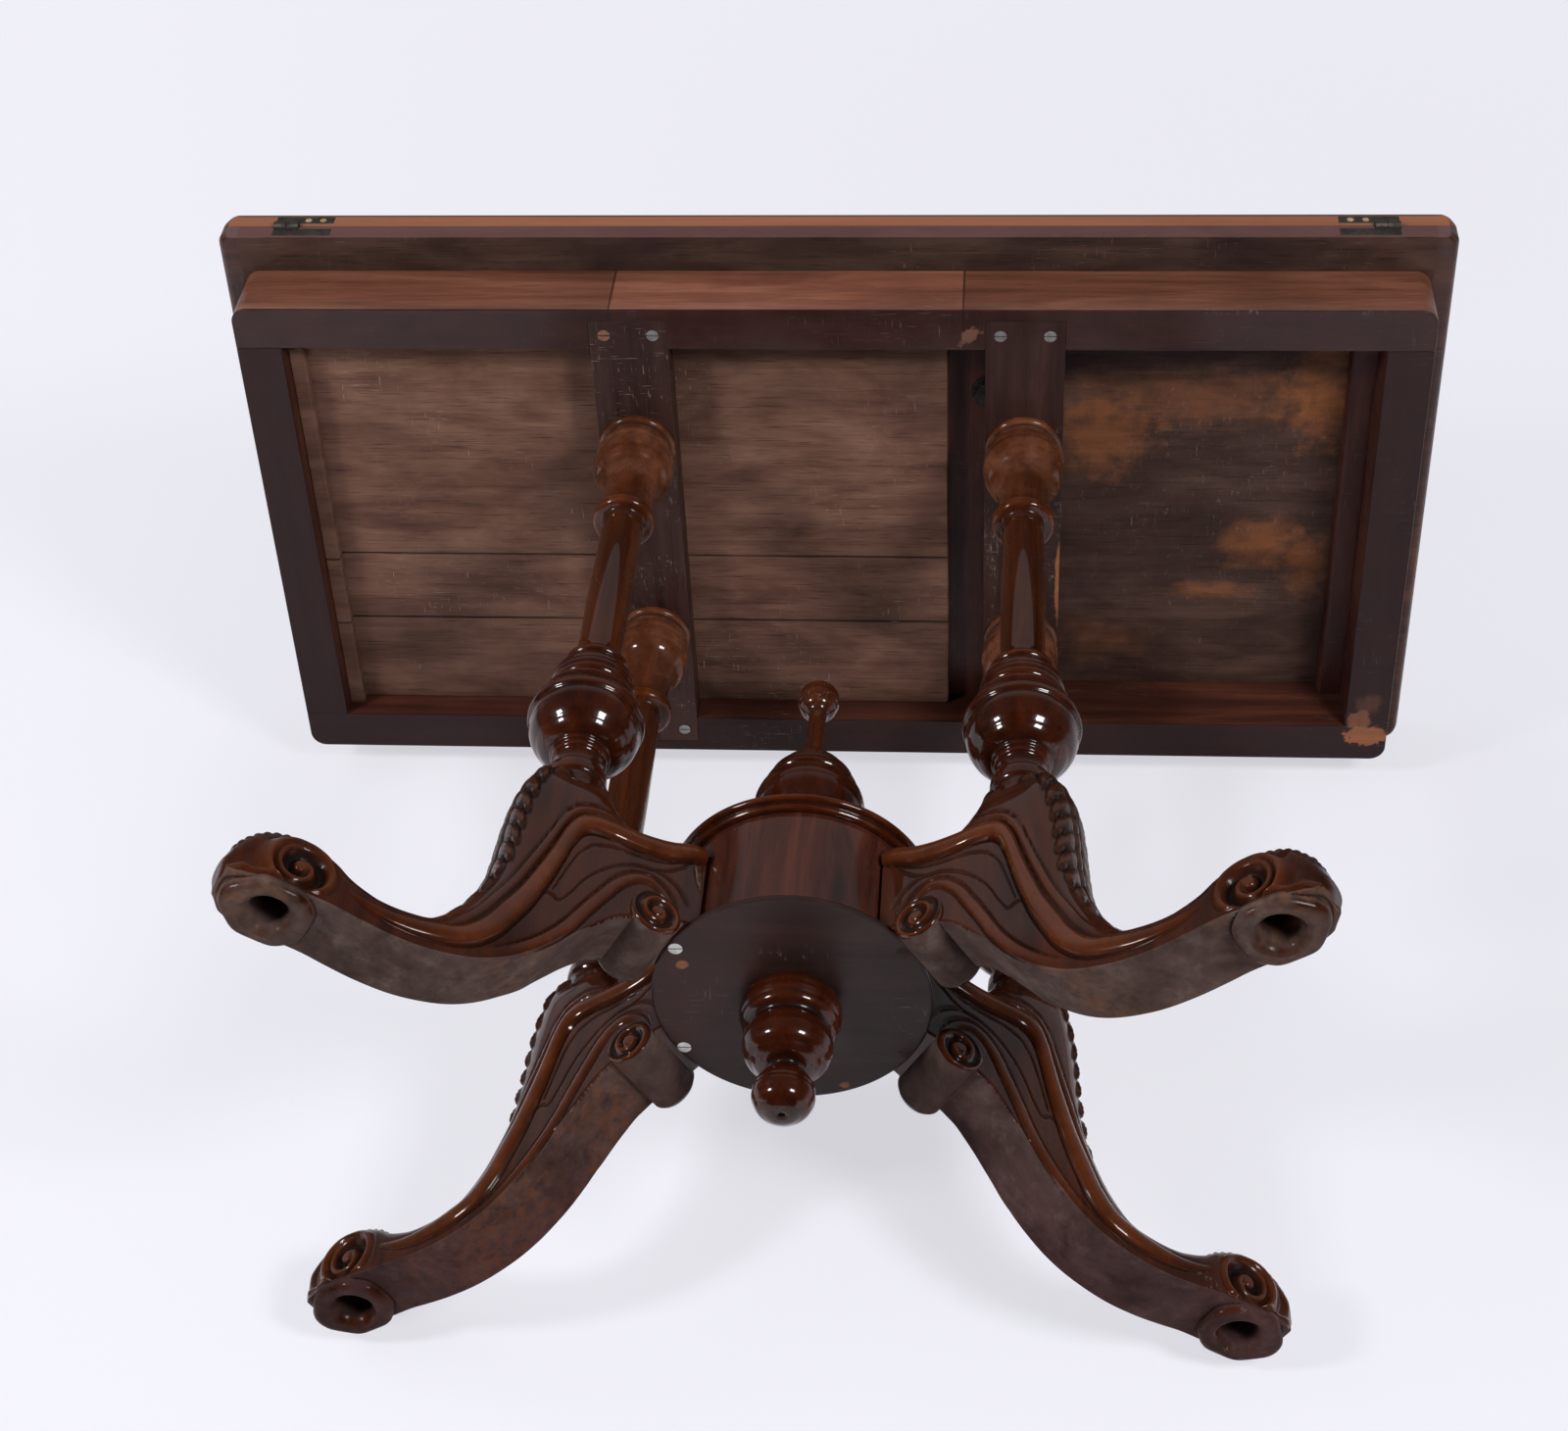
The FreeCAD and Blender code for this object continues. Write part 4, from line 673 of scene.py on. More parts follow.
CORNERS = {"front_left": (-1, -1), "front_right": (1, -1), "back_left": (-1, 1), "back_right": (1, 1)}
for corner, (side_x, side_y) in CORNERS.items():
    place = (side_x * COLUMN_AT[0], side_y * COLUMN_AT[1])
    turned(f"{corner}_turned_column", f"{corner}_column", COLUMN, turned_walnut, place, sides=72)
turned("turned_finial", "upper_finial", FINIAL, turned_walnut, sides=88)
turned("turned_pendant", "lower_pendant", PENDANT, turned_walnut, sides=88)
turned("turned_drum", "drum", DRUM, drum_walnut, spacing=1.2)
turned("turned_drum_rim", "drum_rim", RIM, turned_walnut)
turned("turned_base_disc", "base_disc", DISC, disc_walnut, spacing=1.2)


# Carved legs, in the leg's own plane: s outwards from the table's middle, n across, z up
LEG_ANGLE = math.radians(32)
HALF_WIDTH = 23.0
ROOT = 80.3
LEG_STATIONS = [
    # underside s, z; edge roll s, z; ridge s, z
    (ROOT, 121, ROOT, 185.5, ROOT, 196), (92, 117, 91, 181, 93, 192), (101, 113, 104, 174, 107, 188.5),
    (109, 109.5, 122, 169.5, 122, 187), (117, 106.5, 138, 168, 135, 188.5),
    (124.5, 103.5, 152, 167.5, 146, 201), (131, 99.5, 163, 165.5, 156, 214.5),
    (137.5, 95, 171, 159.5, 178, 215), (144, 88, 176, 148, 196, 211),
    (151, 80, 180, 133, 205, 190), (158, 71, 184.5, 116, 209.5, 160), (166, 60.5, 190, 98.5, 211.5, 130),
    (174.5, 49, 196.5, 80, 215, 103), (186, 37.5, 204.5, 62.5, 224, 79), (201, 24.5, 214, 44, 236, 58),
    (221, 13, 228, 29, 252, 41), (249, 5, 252, 20, 268, 36.5), (276, 3.5, 280, 17.5, 287, 37),
    (296, 5, 300, 22, 304, 41.5), (310, 6.5, 313, 28, 316, 49), (324, 6.5, 327, 32, 329, 54.5),
    (340, 6, 343, 33, 345, 55), (354, 6, 357, 29.5, 359, 49), (365, 7, 367.5, 23.5, 370, 37.5),
    (372, 11, 374, 18, 375.8, 24),
]
SOCKET_AT = 340.5
SCROLL_AT = (111.0, 113.0)
SCROLL_RADIUS = 17.0
VOLUTE_AT = (333.5, 26.5)
VOLUTE_RADIUS = 17.2
LEG_ROWS, SOLE_STEPS, FLANK_STEPS, CROWN_STEPS = 318, 10, 70, 54
LINE_STEPS, SCROLL_SIDES, BARREL_ROWS, PAD_SIDES = 160, 96, 25, 128
SCROLL_FACE, BARREL_HALF = 25.6, 24.0
MOUTH_RADIUS, HOLLOW_RADIUS, HOLLOW_TOP = 17.2, 14.6, 31.5
PAD_FRONT, PAD_BACK, PAD_SIDE, PAD_CHAMFER, PAD_POWER = 30.5, 25.5, 24.4, 37.5, 14
OTHER_SIDE = np.array([1.0, -1.0, 1.0])
ROLL_HALF, ROLL_RISE = 7.6, 4.3
LOBE_PITCH, LEAF_HALF_WIDTH = 17.0, 24.0
LEG_LINES = {
    "incised": [(89, 175), (99, 167), (113, 159.5), (131, 155.5), (147, 153),
                (159, 147), (166.5, 137), (172.5, 121), (177, 106), (180, 96)],
    "curl": [(89, 175), (97, 163), (107, 154), (116, 149.5), (127, 147.5)],
    "scroll": [(90, 134), (98, 143.5), (108, 149), (122, 149), (137, 142),
               (151, 129), (161.5, 114), (168, 100), (173.5, 90)],
    "hook": [(173.5, 90), (176.5, 88.4), (180, 90.5), (184.5, 90.5), (188.5, 87)],
    "edge": [(97, 124), (101, 133), (109, 140.5), (120, 143.5), (130, 140), (141, 129),
             (151, 112), (161.5, 92), (171, 73), (184, 54), (199, 38), (215, 25.5),
             (233, 16.5), (256, 10.5), (285, 9)],
}


def spiral(s, z, centre, radius, turns):
    """A carved scroll: a cosine ridge that winds inwards, its phase the radius over the pitch less the
    turned angle, with a raised eye in the middle. It fades out at the scroll's rim."""
    away_s, away_z = s - centre[0], z - centre[1]
    reach = np.hypot(away_s, away_z)
    angle = np.arctan2(away_z, away_s) / FULL_TURN
    ridge = np.cos(FULL_TURN * (reach / radius * turns - angle))
    eye = ease(0.34, 0.16, reach / radius)
    inside = ease(1.06, 0.92, reach / radius)
    return inside * ((1 - eye) * ridge + eye * 1.1), inside


def foot_carving(s, z, station):
    """The carving on the foot's sides: a scroll sunk in a round hollow with a thick rim, a second hollow
    in front of the rim, each a bell of the distance from the scroll's middle, and a ledge over the pad,
    a bell of z."""
    here = ease(18.0, 19.4, station)
    wound, inside = spiral(s, z, VOLUTE_AT, VOLUTE_RADIUS, 1.3)
    scroll = inside * (3.0 * wound - 2.9)
    away = np.hypot(s - VOLUTE_AT[0], z - VOLUTE_AT[1])
    before = ease(VOLUTE_AT[0] - 2, VOLUTE_AT[0] + 12, s) * ease(10, 14, z)
    rim = hump(away, VOLUTE_RADIUS + 2.4, 2.8) * (0.7 + 0.3 * before) * ease(9, 12, z)
    hollow = hump(away, VOLUTE_RADIUS + 10.0, 3.8) * before
    ring = hump(away, VOLUTE_RADIUS + 6.4, 0.9) * (1 - before) * ease(10, 13, z)
    ledge = hump(z, 12.4, 1.7) * ease(322, 338, s)
    rise = scroll + 2.3 * rim - 2.2 * hollow + 1.3 * ledge - 0.8 * ring
    cut = np.maximum(inside * np.maximum(ease(0.3, -0.7, wound), 0.3), 0.7 * ring)
    crest = np.max([0.75 * inside * ease(0.5, 1.0, wound), 0.8 * rim, 0.6 * ledge], 0)
    return rise * here, cut * here, crest * here


def pad_rim(cos, sin):
    """How far the pad's rim lies from the bore in a direction: an eight-sided outline with softened
    corners, which is a high-power mean of the distances to its sides."""
    forward = np.where(cos > 0, PAD_FRONT, PAD_BACK) / np.maximum(np.abs(cos), 1e-6)
    across = PAD_SIDE / np.maximum(np.abs(sin), 1e-6)
    chamfer = PAD_CHAMFER / (np.abs(cos) + np.abs(sin))
    return (forward**-PAD_POWER + across**-PAD_POWER + chamfer**-PAD_POWER) ** (-1 / PAD_POWER)


def leg_body():
    """The leg as a closed ring grid. Along it, the underside, the edge roll and the ridge each follow a
    curve through the stations. Across it, half a section runs flat over the underside, straight up the
    flank to the edge roll, and over the crown on a superellipse to the ridge; the other half mirrors it.
    Flank and crown are then carved along their normals: a half-round roll along the edge, bells of the
    distance to the incised lines for cuts, a half-round band under the scroll's line, and the foot."""
    pace = np.interp(np.linspace(0, 1, LEG_ROWS), [0, 0.64, 1], [0, 0.74, 1])
    spine = curve_through(LEG_STATIONS, pace)
    stations = np.asarray(LEG_STATIONS)
    station_at = run_along(stations)
    station = np.interp(pace * station_at[-1], station_at, np.arange(len(stations)))[:, None]
    under, roll, ridge = (spine[:, None, k:k + 2] for k in (0, 2, 4))
    width = HALF_WIDTH * np.interp(station, [0, 1.5, 20, 22, 23, 24], [0.93, 1.0, 1.0, 0.95, 0.8, 0.5])
    squareness = np.interp(station, [0, 4, 6, 8, 10, 13, 17, 18.6, 22, 24],
                           [2.3, 2.3, 3.3, 3.3, 2.8, 2.4, 2.4, 3.3, 2.8, 2.3])
    roll_rise = ROLL_RISE * np.interp(station, [0, 0.8, 15.5, 18.3], [0.5, 1, 1, 0])
    roll_half = ROLL_HALF * np.interp(station, [0, 1, 15.5, 18.3], [0.8, 1, 1, 0.3])
    on_roll = np.clip(roll_rise / ROLL_RISE, 0, 1)
    knee = np.interp(station, [4.2, 5.6, 11.5, 14.5], [0, 1, 1, 0])
    on_leg = 1 - ease(17.6, 18.8, station)
    on_band = 1 - ease(12.6, 15.0, station)

    def on_plane(s_z, n):
        return np.stack([s_z[..., 0], np.broadcast_to(n, s_z.shape[:2]), s_z[..., 1]], -1)

    # The underside, with a hollow for the castor's socket.
    share = np.linspace(0, 1, SOLE_STEPS)
    sole = np.broadcast_to(under, (LEG_ROWS, SOLE_STEPS, 2)).copy()
    sole_n = share * (width - 0.9)
    from_socket = np.hypot(sole[..., 0] - SOCKET_AT, sole_n)
    pad_edge = pad_rim((sole[..., 0] - SOCKET_AT) / from_socket, sole_n / from_socket)
    # A crease round the pad, which the finish paints as shade.
    pad_line = hump(from_socket - pad_edge, 0.6, 1.2)
    sole[..., 1] = np.where(from_socket < HOLLOW_RADIUS, HOLLOW_TOP, sole[..., 1])
    sole_points = on_plane(sole, sole_n)

    # The flank.
    share = np.concatenate([[0.0], np.linspace(0.02, 1, FLANK_STEPS)])[None, :, None]
    flank = under + (roll - under) * share
    s, z = flank[..., 0], flank[..., 1]
    from_roll = np.linalg.norm(flank - roll, axis=-1)
    far = {name: distance_to(curve_through(points, np.linspace(0, 1, LINE_STEPS)), s, z)
           for name, points in LEG_LINES.items()}
    rounded = roll_rise * half_round(from_roll, 0, roll_half)
    groove = hump(from_roll, roll_half + 0.9, 0.9) * on_roll
    fine = np.max([hump(far[name][0], 0, 0.75) for name in ("incised", "curl", "scroll", "hook")], 0) * on_leg
    edge_far, edge_side = far["edge"]
    below = -edge_far * edge_side
    band = half_round(below, 4.6, 4.2) * on_band * ease(112, 132, s + 0.3 * z - 30)
    edge_cut = hump(edge_far, 0, 0.9) * on_band
    lower_cut = hump(below, 9.3, 0.8) * on_band * ease(125, 140, s)
    foot_rise, foot_cut, foot_crest = foot_carving(s, z, station)
    flank_n = width + rounded - 1.3 * groove - 0.9 * fine + 1.7 * band
    flank_n = flank_n - 1.3 * edge_cut - 0.9 * lower_cut + foot_rise
    flank_n[:, 0] = width[:, 0] - 0.9
    flank_cut = np.max([0.8 * groove, fine, edge_cut, 0.9 * lower_cut, foot_cut], 0)
    flank_crest = np.max([rounded / ROLL_RISE, 0.55 * band, foot_crest], 0)

    # The crown, and how far each of its points lies from the roll over the surface.
    share = np.linspace(0, 1, CROWN_STEPS + 1)[None, :]
    evened = squareness / 2
    turn = math.pi / 2 * share**evened / (share**evened + (1 - share) ** evened)
    power = 2 / squareness
    climb = np.linalg.norm(ridge - roll, axis=-1) * np.sin(turn) ** power
    outward = (ridge - roll) / np.linalg.norm(ridge - roll, axis=-1, keepdims=True)
    crown = on_plane(roll + outward * climb[..., None], width * np.cos(turn) ** power)
    crown[:, -1, 1] = 0.0
    steps = np.linalg.norm(np.diff(crown, axis=1), axis=-1)
    reach = np.concatenate([np.zeros((LEG_ROWS, 1)), np.cumsum(steps, 1)], 1)
    normal = np.cross(np.gradient(crown, axis=1), np.gradient(crown, axis=0))
    middle = on_plane((under + ridge) / 2, 0.0)
    normal *= np.sign(np.sum(normal * (crown - middle), -1, keepdims=True))
    normal[:, -1, 1] = 0.0
    normal /= np.maximum(np.linalg.norm(normal, axis=-1, keepdims=True), 1e-9)
    bulge = roll_rise * half_round(reach, 0, roll_half)
    channel = hump(reach, roll_half + 1.2, 1.7) * on_roll * ease(16, 22, reach[:, -1:])
    fillet = half_round(reach - roll_half, 5.6, 3.7) * knee
    second = hump(reach, roll_half + 10.2, 1.2) * knee
    length = run_along(ridge[:, 0])[:, None]
    inwards = reach[:, -1:] - reach
    leaf_half = np.minimum(reach[:, -1:] - roll_half - 15.0, LEAF_HALF_WIDTH)
    leaf_rise, leaf_cut, leaf_crest = knee_leaf(length, inwards, leaf_half, station)
    toe_rise, toe_cut = toe_carving(length, inwards, station)
    side_rise, side_cut, side_crest = foot_carving(crown[..., 0], crown[..., 2], station)
    on_side = ease(0.45, 0.8, normal[..., 1])
    rise = bulge - 1.3 * channel + 1.1 * fillet - 1.0 * second + leaf_rise + toe_rise + side_rise * on_side
    crown = crown + normal * rise[..., None]
    crown_cut = np.max([0.8 * channel, second, leaf_cut, toe_cut, side_cut * on_side], 0)
    crown_crest = np.max([bulge / ROLL_RISE, 0.4 * fillet, leaf_crest, side_crest * on_side], 0)
    half = np.concatenate([sole_points, on_plane(flank, flank_n), crown[:, 1:]], 1)
    nothing = np.zeros(sole_points.shape[:2])
    cut = np.concatenate([pad_line, flank_cut, crown_cut[:, 1:]], 1)
    crest = np.concatenate([nothing, flank_crest, crown_crest[:, 1:]], 1)
    low_flank = ease(2.2, 0.3, (s - under[..., 0]) * 0.4 + z - under[..., 1]) * ease(8, 11, station)
    bare = np.concatenate([nothing + ease(3.5, 5, station), low_flank, np.zeros(crown_cut[:, 1:].shape)], 1)

    def whole(array, mirror):
        back = array[:, -2:0:-1]
        return np.concatenate([array, back * mirror], 1)

    marks = {"cut": cut, "crest": crest, "bare": bare}
    marks = {name: whole(array, 1.0).ravel() for name, array in marks.items()}
    return closed_grid(whole(half, OTHER_SIDE)), marks


def knee_leaf(length, inwards, half_width, station):
    """A long leaf down the knee's front. q is the distance from the middle over the leaf's half width.
    Lobes are the root of a sine of the length less a share of q, so they sweep down and outwards. The
    edge is scalloped by them, veins ripple along them, a pit is drilled where two meet, and a half-round
    midrib runs down the middle."""
    strength = np.interp(station, [5.4, 6.6, 12.0, 14.8], [0, 1, 1, 0])
    half_width = np.maximum(half_width * np.interp(station, [6, 9, 14.8], [0.9, 1.0, 0.55]), 1.0)
    q = inwards / half_width
    phase = length / LOBE_PITCH - 0.7 * q
    lobe = np.abs(np.sin(math.pi * phase)) ** 0.6
    edge = 0.78 + 0.24 * lobe
    inside = ease(0.05, -0.05, q - edge) * strength
    vein = np.cos(FULL_TURN * (4 * phase + 0.5 * q)) * ease(0.2, 0.5, q)
    rib = hump(inwards, 0, 1.7)
    beside = hump(inwards, 3.4, 0.9)
    pit = hump(np.sin(math.pi * phase), 0, 0.34) * hump(q, 0.74, 0.13) * strength
    swell = 0.9 + 2.1 * lobe * (0.3 + 0.7 * np.clip(q, 0, 1)) + 0.28 * vein + rib - beside
    rise = inside * swell - 2.2 * pit
    gap = inside * ease(0.62, 0.2, lobe) * ease(0.1, 0.3, q)
    outline = hump(q - edge, 0.07, 0.06) * strength
    cut = np.max([gap, pit, outline, 0.7 * inside * beside, inside * (0.62 + 0.16 * vein)], 0)
    return rise, np.clip(cut, 0, 1), inside * ease(0.85, 1.0, lobe) * 0.5


def toe_carving(length, inwards, station):
    """Small gouge cuts over the toe: a product of sines along and across, only near the foot's ridge."""
    strength = np.interp(station, [17.8, 18.8, 23.0, 23.7], [0, 1, 1, 0]) * ease(19, 13, inwards)
    lengthwise = np.abs(np.sin(length * math.pi / 6.5 + inwards * 0.2)) ** 0.7
    cells = lengthwise * np.abs(np.cos(inwards * math.pi / 8.0)) ** 0.7
    return strength * (2.6 * cells - 1.1), strength * np.maximum(0.45, ease(0.6, 0.15, cells))


def scroll_roll():
    """The roll under the knee: a cylinder across the leg whose two end faces carry the carved spiral,
    so each ring of points is a radius, and n follows the spiral on the ends and steps along the barrel."""
    radius = np.concatenate([np.linspace(0.4, SCROLL_RADIUS - 1.2, 30), [SCROLL_RADIUS - 0.4, SCROLL_RADIUS]])
    cos, sin = circle(SCROLL_SIDES)
    s = SCROLL_AT[0] + radius[:, None] * cos
    z = SCROLL_AT[1] + radius[:, None] * sin
    wound, inside = spiral(s, z, SCROLL_AT, SCROLL_RADIUS, 1.9)
    n = SCROLL_FACE + 1.5 * wound - 0.9 * ease(SCROLL_RADIUS - 1.6, SCROLL_RADIUS, radius)[:, None]
    end = np.stack([s, n, z], -1)
    barrel_n = np.linspace(BARREL_HALF, -BARREL_HALF, BARREL_ROWS)[:, None]
    barrel = np.stack(np.broadcast_arrays(s[-1], barrel_n, z[-1]), -1)
    points = np.concatenate([end, barrel, (end * OTHER_SIDE)[::-1]])

    def carried(on_end, on_barrel=0.0):
        return np.concatenate([on_end, np.full(barrel.shape[:2], on_barrel), on_end[::-1]]).ravel()

    marks = {"cut": carried(ease(0.1, -0.8, wound) * inside), "crest": carried(ease(0.4, 1, wound) * inside),
             "bare": carried(np.zeros(end.shape[:2]), 1.0)}
    return closed_grid(points), marks


def foot_pad():
    """The pad round the castor's socket, as rings about the bore: down the bore, out over the widened
    mouth, across the flat to the rim, up it and back inside, closed over the bore's top."""
    cos, sin = circle(PAD_SIDES)
    rim = pad_rim(cos, sin)
    bore = [(0.4, 24.0), (6.4, 24.0), (7.4, 23.0), (7.8, 19.0), (9.2, 16.6), (10.9, 14.6), (11.6, 11.6),
            (11.9, 8.0), (12.6, 5.0), (14.4, 2.4), (MOUTH_RADIUS, 0.0)]
    flat = [MOUTH_RADIUS + (rim - 4.6 - MOUTH_RADIUS) * share for share in (0.25, 0.5, 0.75, 1.0)]
    edge = [(2.6, 0.5), (1.2, 1.5), (0.3, 3.2), (0.0, 5.2), (0.3, 8.4), (1.6, 10.2), (4, 10.8)]
    back = [(14.0, 10.8), (14.0, 20.0), (11.0, 25.5), (0.4, 25.5)]
    rings = [*bore, *((r, 0.0) for r in flat), *((rim - inset, z) for inset, z in edge), *back]
    rings = [np.broadcast_arrays(SOCKET_AT + r * cos, r * sin, z) for r, z in rings]
    # How deep each ring lies in the bore or in the crease over the rim, which the finish paints as shade.
    depth = [1.0, 1.0, 1.0, 0.9, 0.75, 0.55, 0.4, 0.3, 0.18, 0.06] + [0.0] * 9 + [0.9, 1.0, 1.0] + [0.0] * 4
    bare = [0.66] * 8 + [0.56, 0.50, 0.53, 0.64, 0.70, 0.66, 0.60, 0.55, 0.52, 0.52] + [0.66] * 8
    marks = {"cut": np.array(depth) * 0.75, "crest": np.zeros(len(rings)), "bare": bare}
    marks = {name: np.repeat(values, PAD_SIDES) for name, values in marks.items()}
    return closed_grid(np.stack([np.stack(ring, -1) for ring in rings])), marks


def carved_leg(corner, side_x, side_y, shells):
    """The leg's shells stood at a corner: s runs outwards at the leg's angle and n square to it."""
    out = np.array([side_x * math.cos(LEG_ANGLE), side_y * math.sin(LEG_ANGLE), 0.0])
    across = np.array([-side_x * math.sin(LEG_ANGLE), side_y * math.cos(LEG_ANGLE), 0.0])
    axes = np.stack([out, across, np.array([0.0, 0.0, 1.0])])
    stood = [(points @ axes, faces) for (points, faces), _ in shells]
    names = ("cut", "crest", "bare")
    marks = {name: np.concatenate([carried[name] for _, carried in shells]) for name in names}
    put_mesh(f"{corner}_carved_leg", stood, leg_walnut, "stand",
             (f"{corner}_leg",), marks, math.radians(50))


leg_shells = [leg_body(), scroll_roll(), foot_pad()]
for corner, (side_x, side_y) in CORNERS.items():
    carved_leg(corner, side_x, side_y, leg_shells)


# The frame, eased at its arrises
for node, finish in (
    ("front_rail", frame_walnut), ("back_rail", back_walnut), ("left_rail", end_walnut),
    ("right_rail", end_walnut), ("left_bearer", bearer_walnut), ("right_bearer", bearer_walnut),
):
    eased_copy(node, finish, "stand")
for node in ("front_well_board", "middle_well_board", "back_well_board", "well_ledger"):
    eased_copy(node, well_boards, "stand", 1.3)
eased_copy("pivot_rail", end_walnut, "stand", 0.7)


# A fillet inside the left rail, over the open end of the frame
FILLET = [(-405.4, 656.6), (-405.4, 646.0), (-390.0, 646.0), (-386.6, 648.2, 0.8), (-385.8, 652.0, 0.3),
          (-385.8, 656.6)]
FILLET_HALF, FILLET_ROWS = 176.6, 40


def rail_fillet():
    """A profile of (x, z) points carried along y between the front and the back rail."""
    line = profile_line(FILLET, 1.0, 0.5)
    places = np.linspace(-FILLET_HALF, FILLET_HALF, FILLET_ROWS)
    rows = [np.stack([line[:, 0], np.full(len(line), y), line[:, 1]], 1) for y in places]
    put_mesh("left_rail_fillet", [closed_grid(np.stack(rows))], end_walnut, "stand")


rail_fillet()


# The leaves' moulded edges
LEAF_HALF = (457.0, 239.0)
LEAF_CORNER = 14.0
EDGE_WIDTH = 16.0
BACK_CORNER = 9.0
CORNER_POINTS, BACK_POINTS, END_POINTS = 18, 9, 6


def edge_path(inset):
    """A line round three sides of a leaf at an inset from its outer edge, from the back of the left end
    to the back of the right end. Front corners are arcs about fixed centres whose radius shrinks by the
    inset; each back end is cut in along an arc, by less the larger the inset."""
    half_x, half_y = LEAF_HALF
    inner = max(LEAF_CORNER - inset, 0.0)
    beyond = max(inset - LEAF_CORNER, 0.0)
    centre_x, centre_y = half_x - LEAF_CORNER - beyond, half_y - LEAF_CORNER - beyond
    arc = np.linspace(0, math.pi / 2, CORNER_POINTS)
    end_arc = half_y - BACK_CORNER * (1 - np.cos(np.linspace(0, math.pi / 2, BACK_POINTS)))
    straight = np.linspace(half_y - BACK_CORNER, -centre_y, END_POINTS)
    run = np.concatenate([end_arc, straight[1:]])
    near = np.clip(run - half_y + BACK_CORNER, 0, BACK_CORNER)
    cut_in = (BACK_CORNER - np.sqrt(BACK_CORNER**2 - near**2)) * (1 - inset / EDGE_WIDTH)
    left = np.stack([-half_x + inset + cut_in, run], 1)
    turn_left = np.stack([-centre_x - inner * np.cos(arc), -centre_y - inner * np.sin(arc)], 1)
    turn_right = np.stack([centre_x + inner * np.sin(arc), -centre_y - inner * np.cos(arc)], 1)
    right = left[::-1] * np.array([-1.0, 1.0])
    return np.concatenate([left[:-1], turn_left, turn_right, right[1:]])


def moulded_edge(level, profile, finish, body):
    """A profile of (inset, height) points carried along the three sides, closed at both ends."""
    line = profile_line(profile, 0.5, 0.35)
    paths = [(edge_path(inset), z) for inset, z in line]
    rings = np.stack([np.concatenate([path, np.full((len(path), 1), z)], 1) for path, z in paths], 1)
    put_mesh(f"{level}_leaf_moulded_edge", [closed_grid(rings)], finish, body,
             (f"{level}_leaf_moulding",))


LOWER_LOW, LOWER_HIGH, UPPER_LOW, UPPER_HIGH = 659.4, 675.0, 675.4, 691.0
lower_profile = [
    (EDGE_WIDTH, LOWER_LOW), (7.5, LOWER_LOW), (3.2, LOWER_LOW + 1.4, -0.5), (1.8, LOWER_LOW + 3.2, -0.3),
    (2.2, LOWER_LOW + 4.0), (0.6, LOWER_LOW + 6.6, -0.5), (0.0, LOWER_LOW + 9.4, -0.3),
    (0.0, LOWER_HIGH - 1.0), (0.7, LOWER_HIGH, -0.2), (EDGE_WIDTH, LOWER_HIGH),
]
upper_profile = [
    (EDGE_WIDTH, UPPER_LOW), (0.7, UPPER_LOW), (0.0, UPPER_LOW + 1.0, -0.2), (0.0, UPPER_HIGH - 9.4),
    (0.6, UPPER_HIGH - 6.6, -0.3), (2.2, UPPER_HIGH - 4.0, -0.5), (1.8, UPPER_HIGH - 3.2),
    (3.2, UPPER_HIGH - 1.4, -0.3), (7.5, UPPER_HIGH, -0.5), (EDGE_WIDTH, UPPER_HIGH),
]
moulded_edge("lower", lower_profile, dark_edge_walnut, "lower_top")
moulded_edge("upper", upper_profile, edge_walnut, "upper_top")


# The baize on the leaves' inner faces
BAIZE_ROWS, BAIZE_COLUMNS = 120, 60


def baize_sheet(level, body):
    """A thin cloth slab: the node's box with a grid over its face, rolled down a little at its border by
    a cubic ease, and slightly uneven by two crossed waves."""
    low, high = (np.array(corner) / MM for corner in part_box(f"{level}_leaf_baize"))
    x, y = np.linspace(low[0], high[0], BAIZE_ROWS), np.linspace(low[1], high[1], BAIZE_COLUMNS)
    border = np.minimum.reduce(np.broadcast_arrays(
        (x - low[0])[:, None], (high[0] - x)[:, None], (y - low[1])[None, :], (high[1] - y)[None, :]))
    wave = 0.03 * np.sin(x / 23.0)[:, None] * np.sin(y / 19.0)[None, :]
    drop = 0.35 * (1 - ease(0, 6, border)) + 0.03 + wave
    outer = low[2] + drop if level == "upper" else high[2] - drop
    back = np.full(outer.shape, high[2] if level == "upper" else low[2])
    plan = np.broadcast_arrays(x[:, None], y[None, :])
    faces = grid_faces(BAIZE_ROWS, BAIZE_COLUMNS, ring=False)
    points = np.concatenate([np.stack([*plan, z], -1).reshape(-1, 3) for z in (outer, back)])
    index = np.arange(BAIZE_ROWS * BAIZE_COLUMNS).reshape(BAIZE_ROWS, BAIZE_COLUMNS)
    rim = np.concatenate([index[:-1, 0], index[-1, :-1], index[:0:-1, -1], index[0, :0:-1]])
    beside = np.roll(rim, -1)
    wall = np.stack([rim, beside, beside + index.size, rim + index.size], 1)
    shell = (points, [faces, faces[:, ::-1] + index.size, wall])
    sheet = put_mesh(f"{level}_baize_cloth", [shell], baize, body, (f"{level}_leaf_baize",))


baize_sheet("lower", "lower_top")
baize_sheet("upper", "upper_top")


# Finishes of the solids that show as they are
HINGES = [f"{side}_hinge_{piece}" for side in ("left", "right")
          for piece in ("lower_plate", "upper_plate", "pin")]
PIVOT = [f"pivot_{piece}" for piece in ("plate", "plate_screws", "bolt", "washer", "nut")]
for finish, nodes in (
    (leaf_walnut, ["upper_leaf"]), (leaf_underside, ["lower_leaf"]), (dowel_beech, ["leg_dowels"]),
    (hinge_bronze, ["hinge_screws_lower", *HINGES]), (hinge_brass, ["hinge_screws_upper"]),
    (bearer_steel, ["bearer_screws"]), (disc_steel, ["base_disc_screws"]), (pivot_iron, PIVOT),
):
    for node in nodes:
        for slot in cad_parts[node].material_slots:
            slot.material = finish


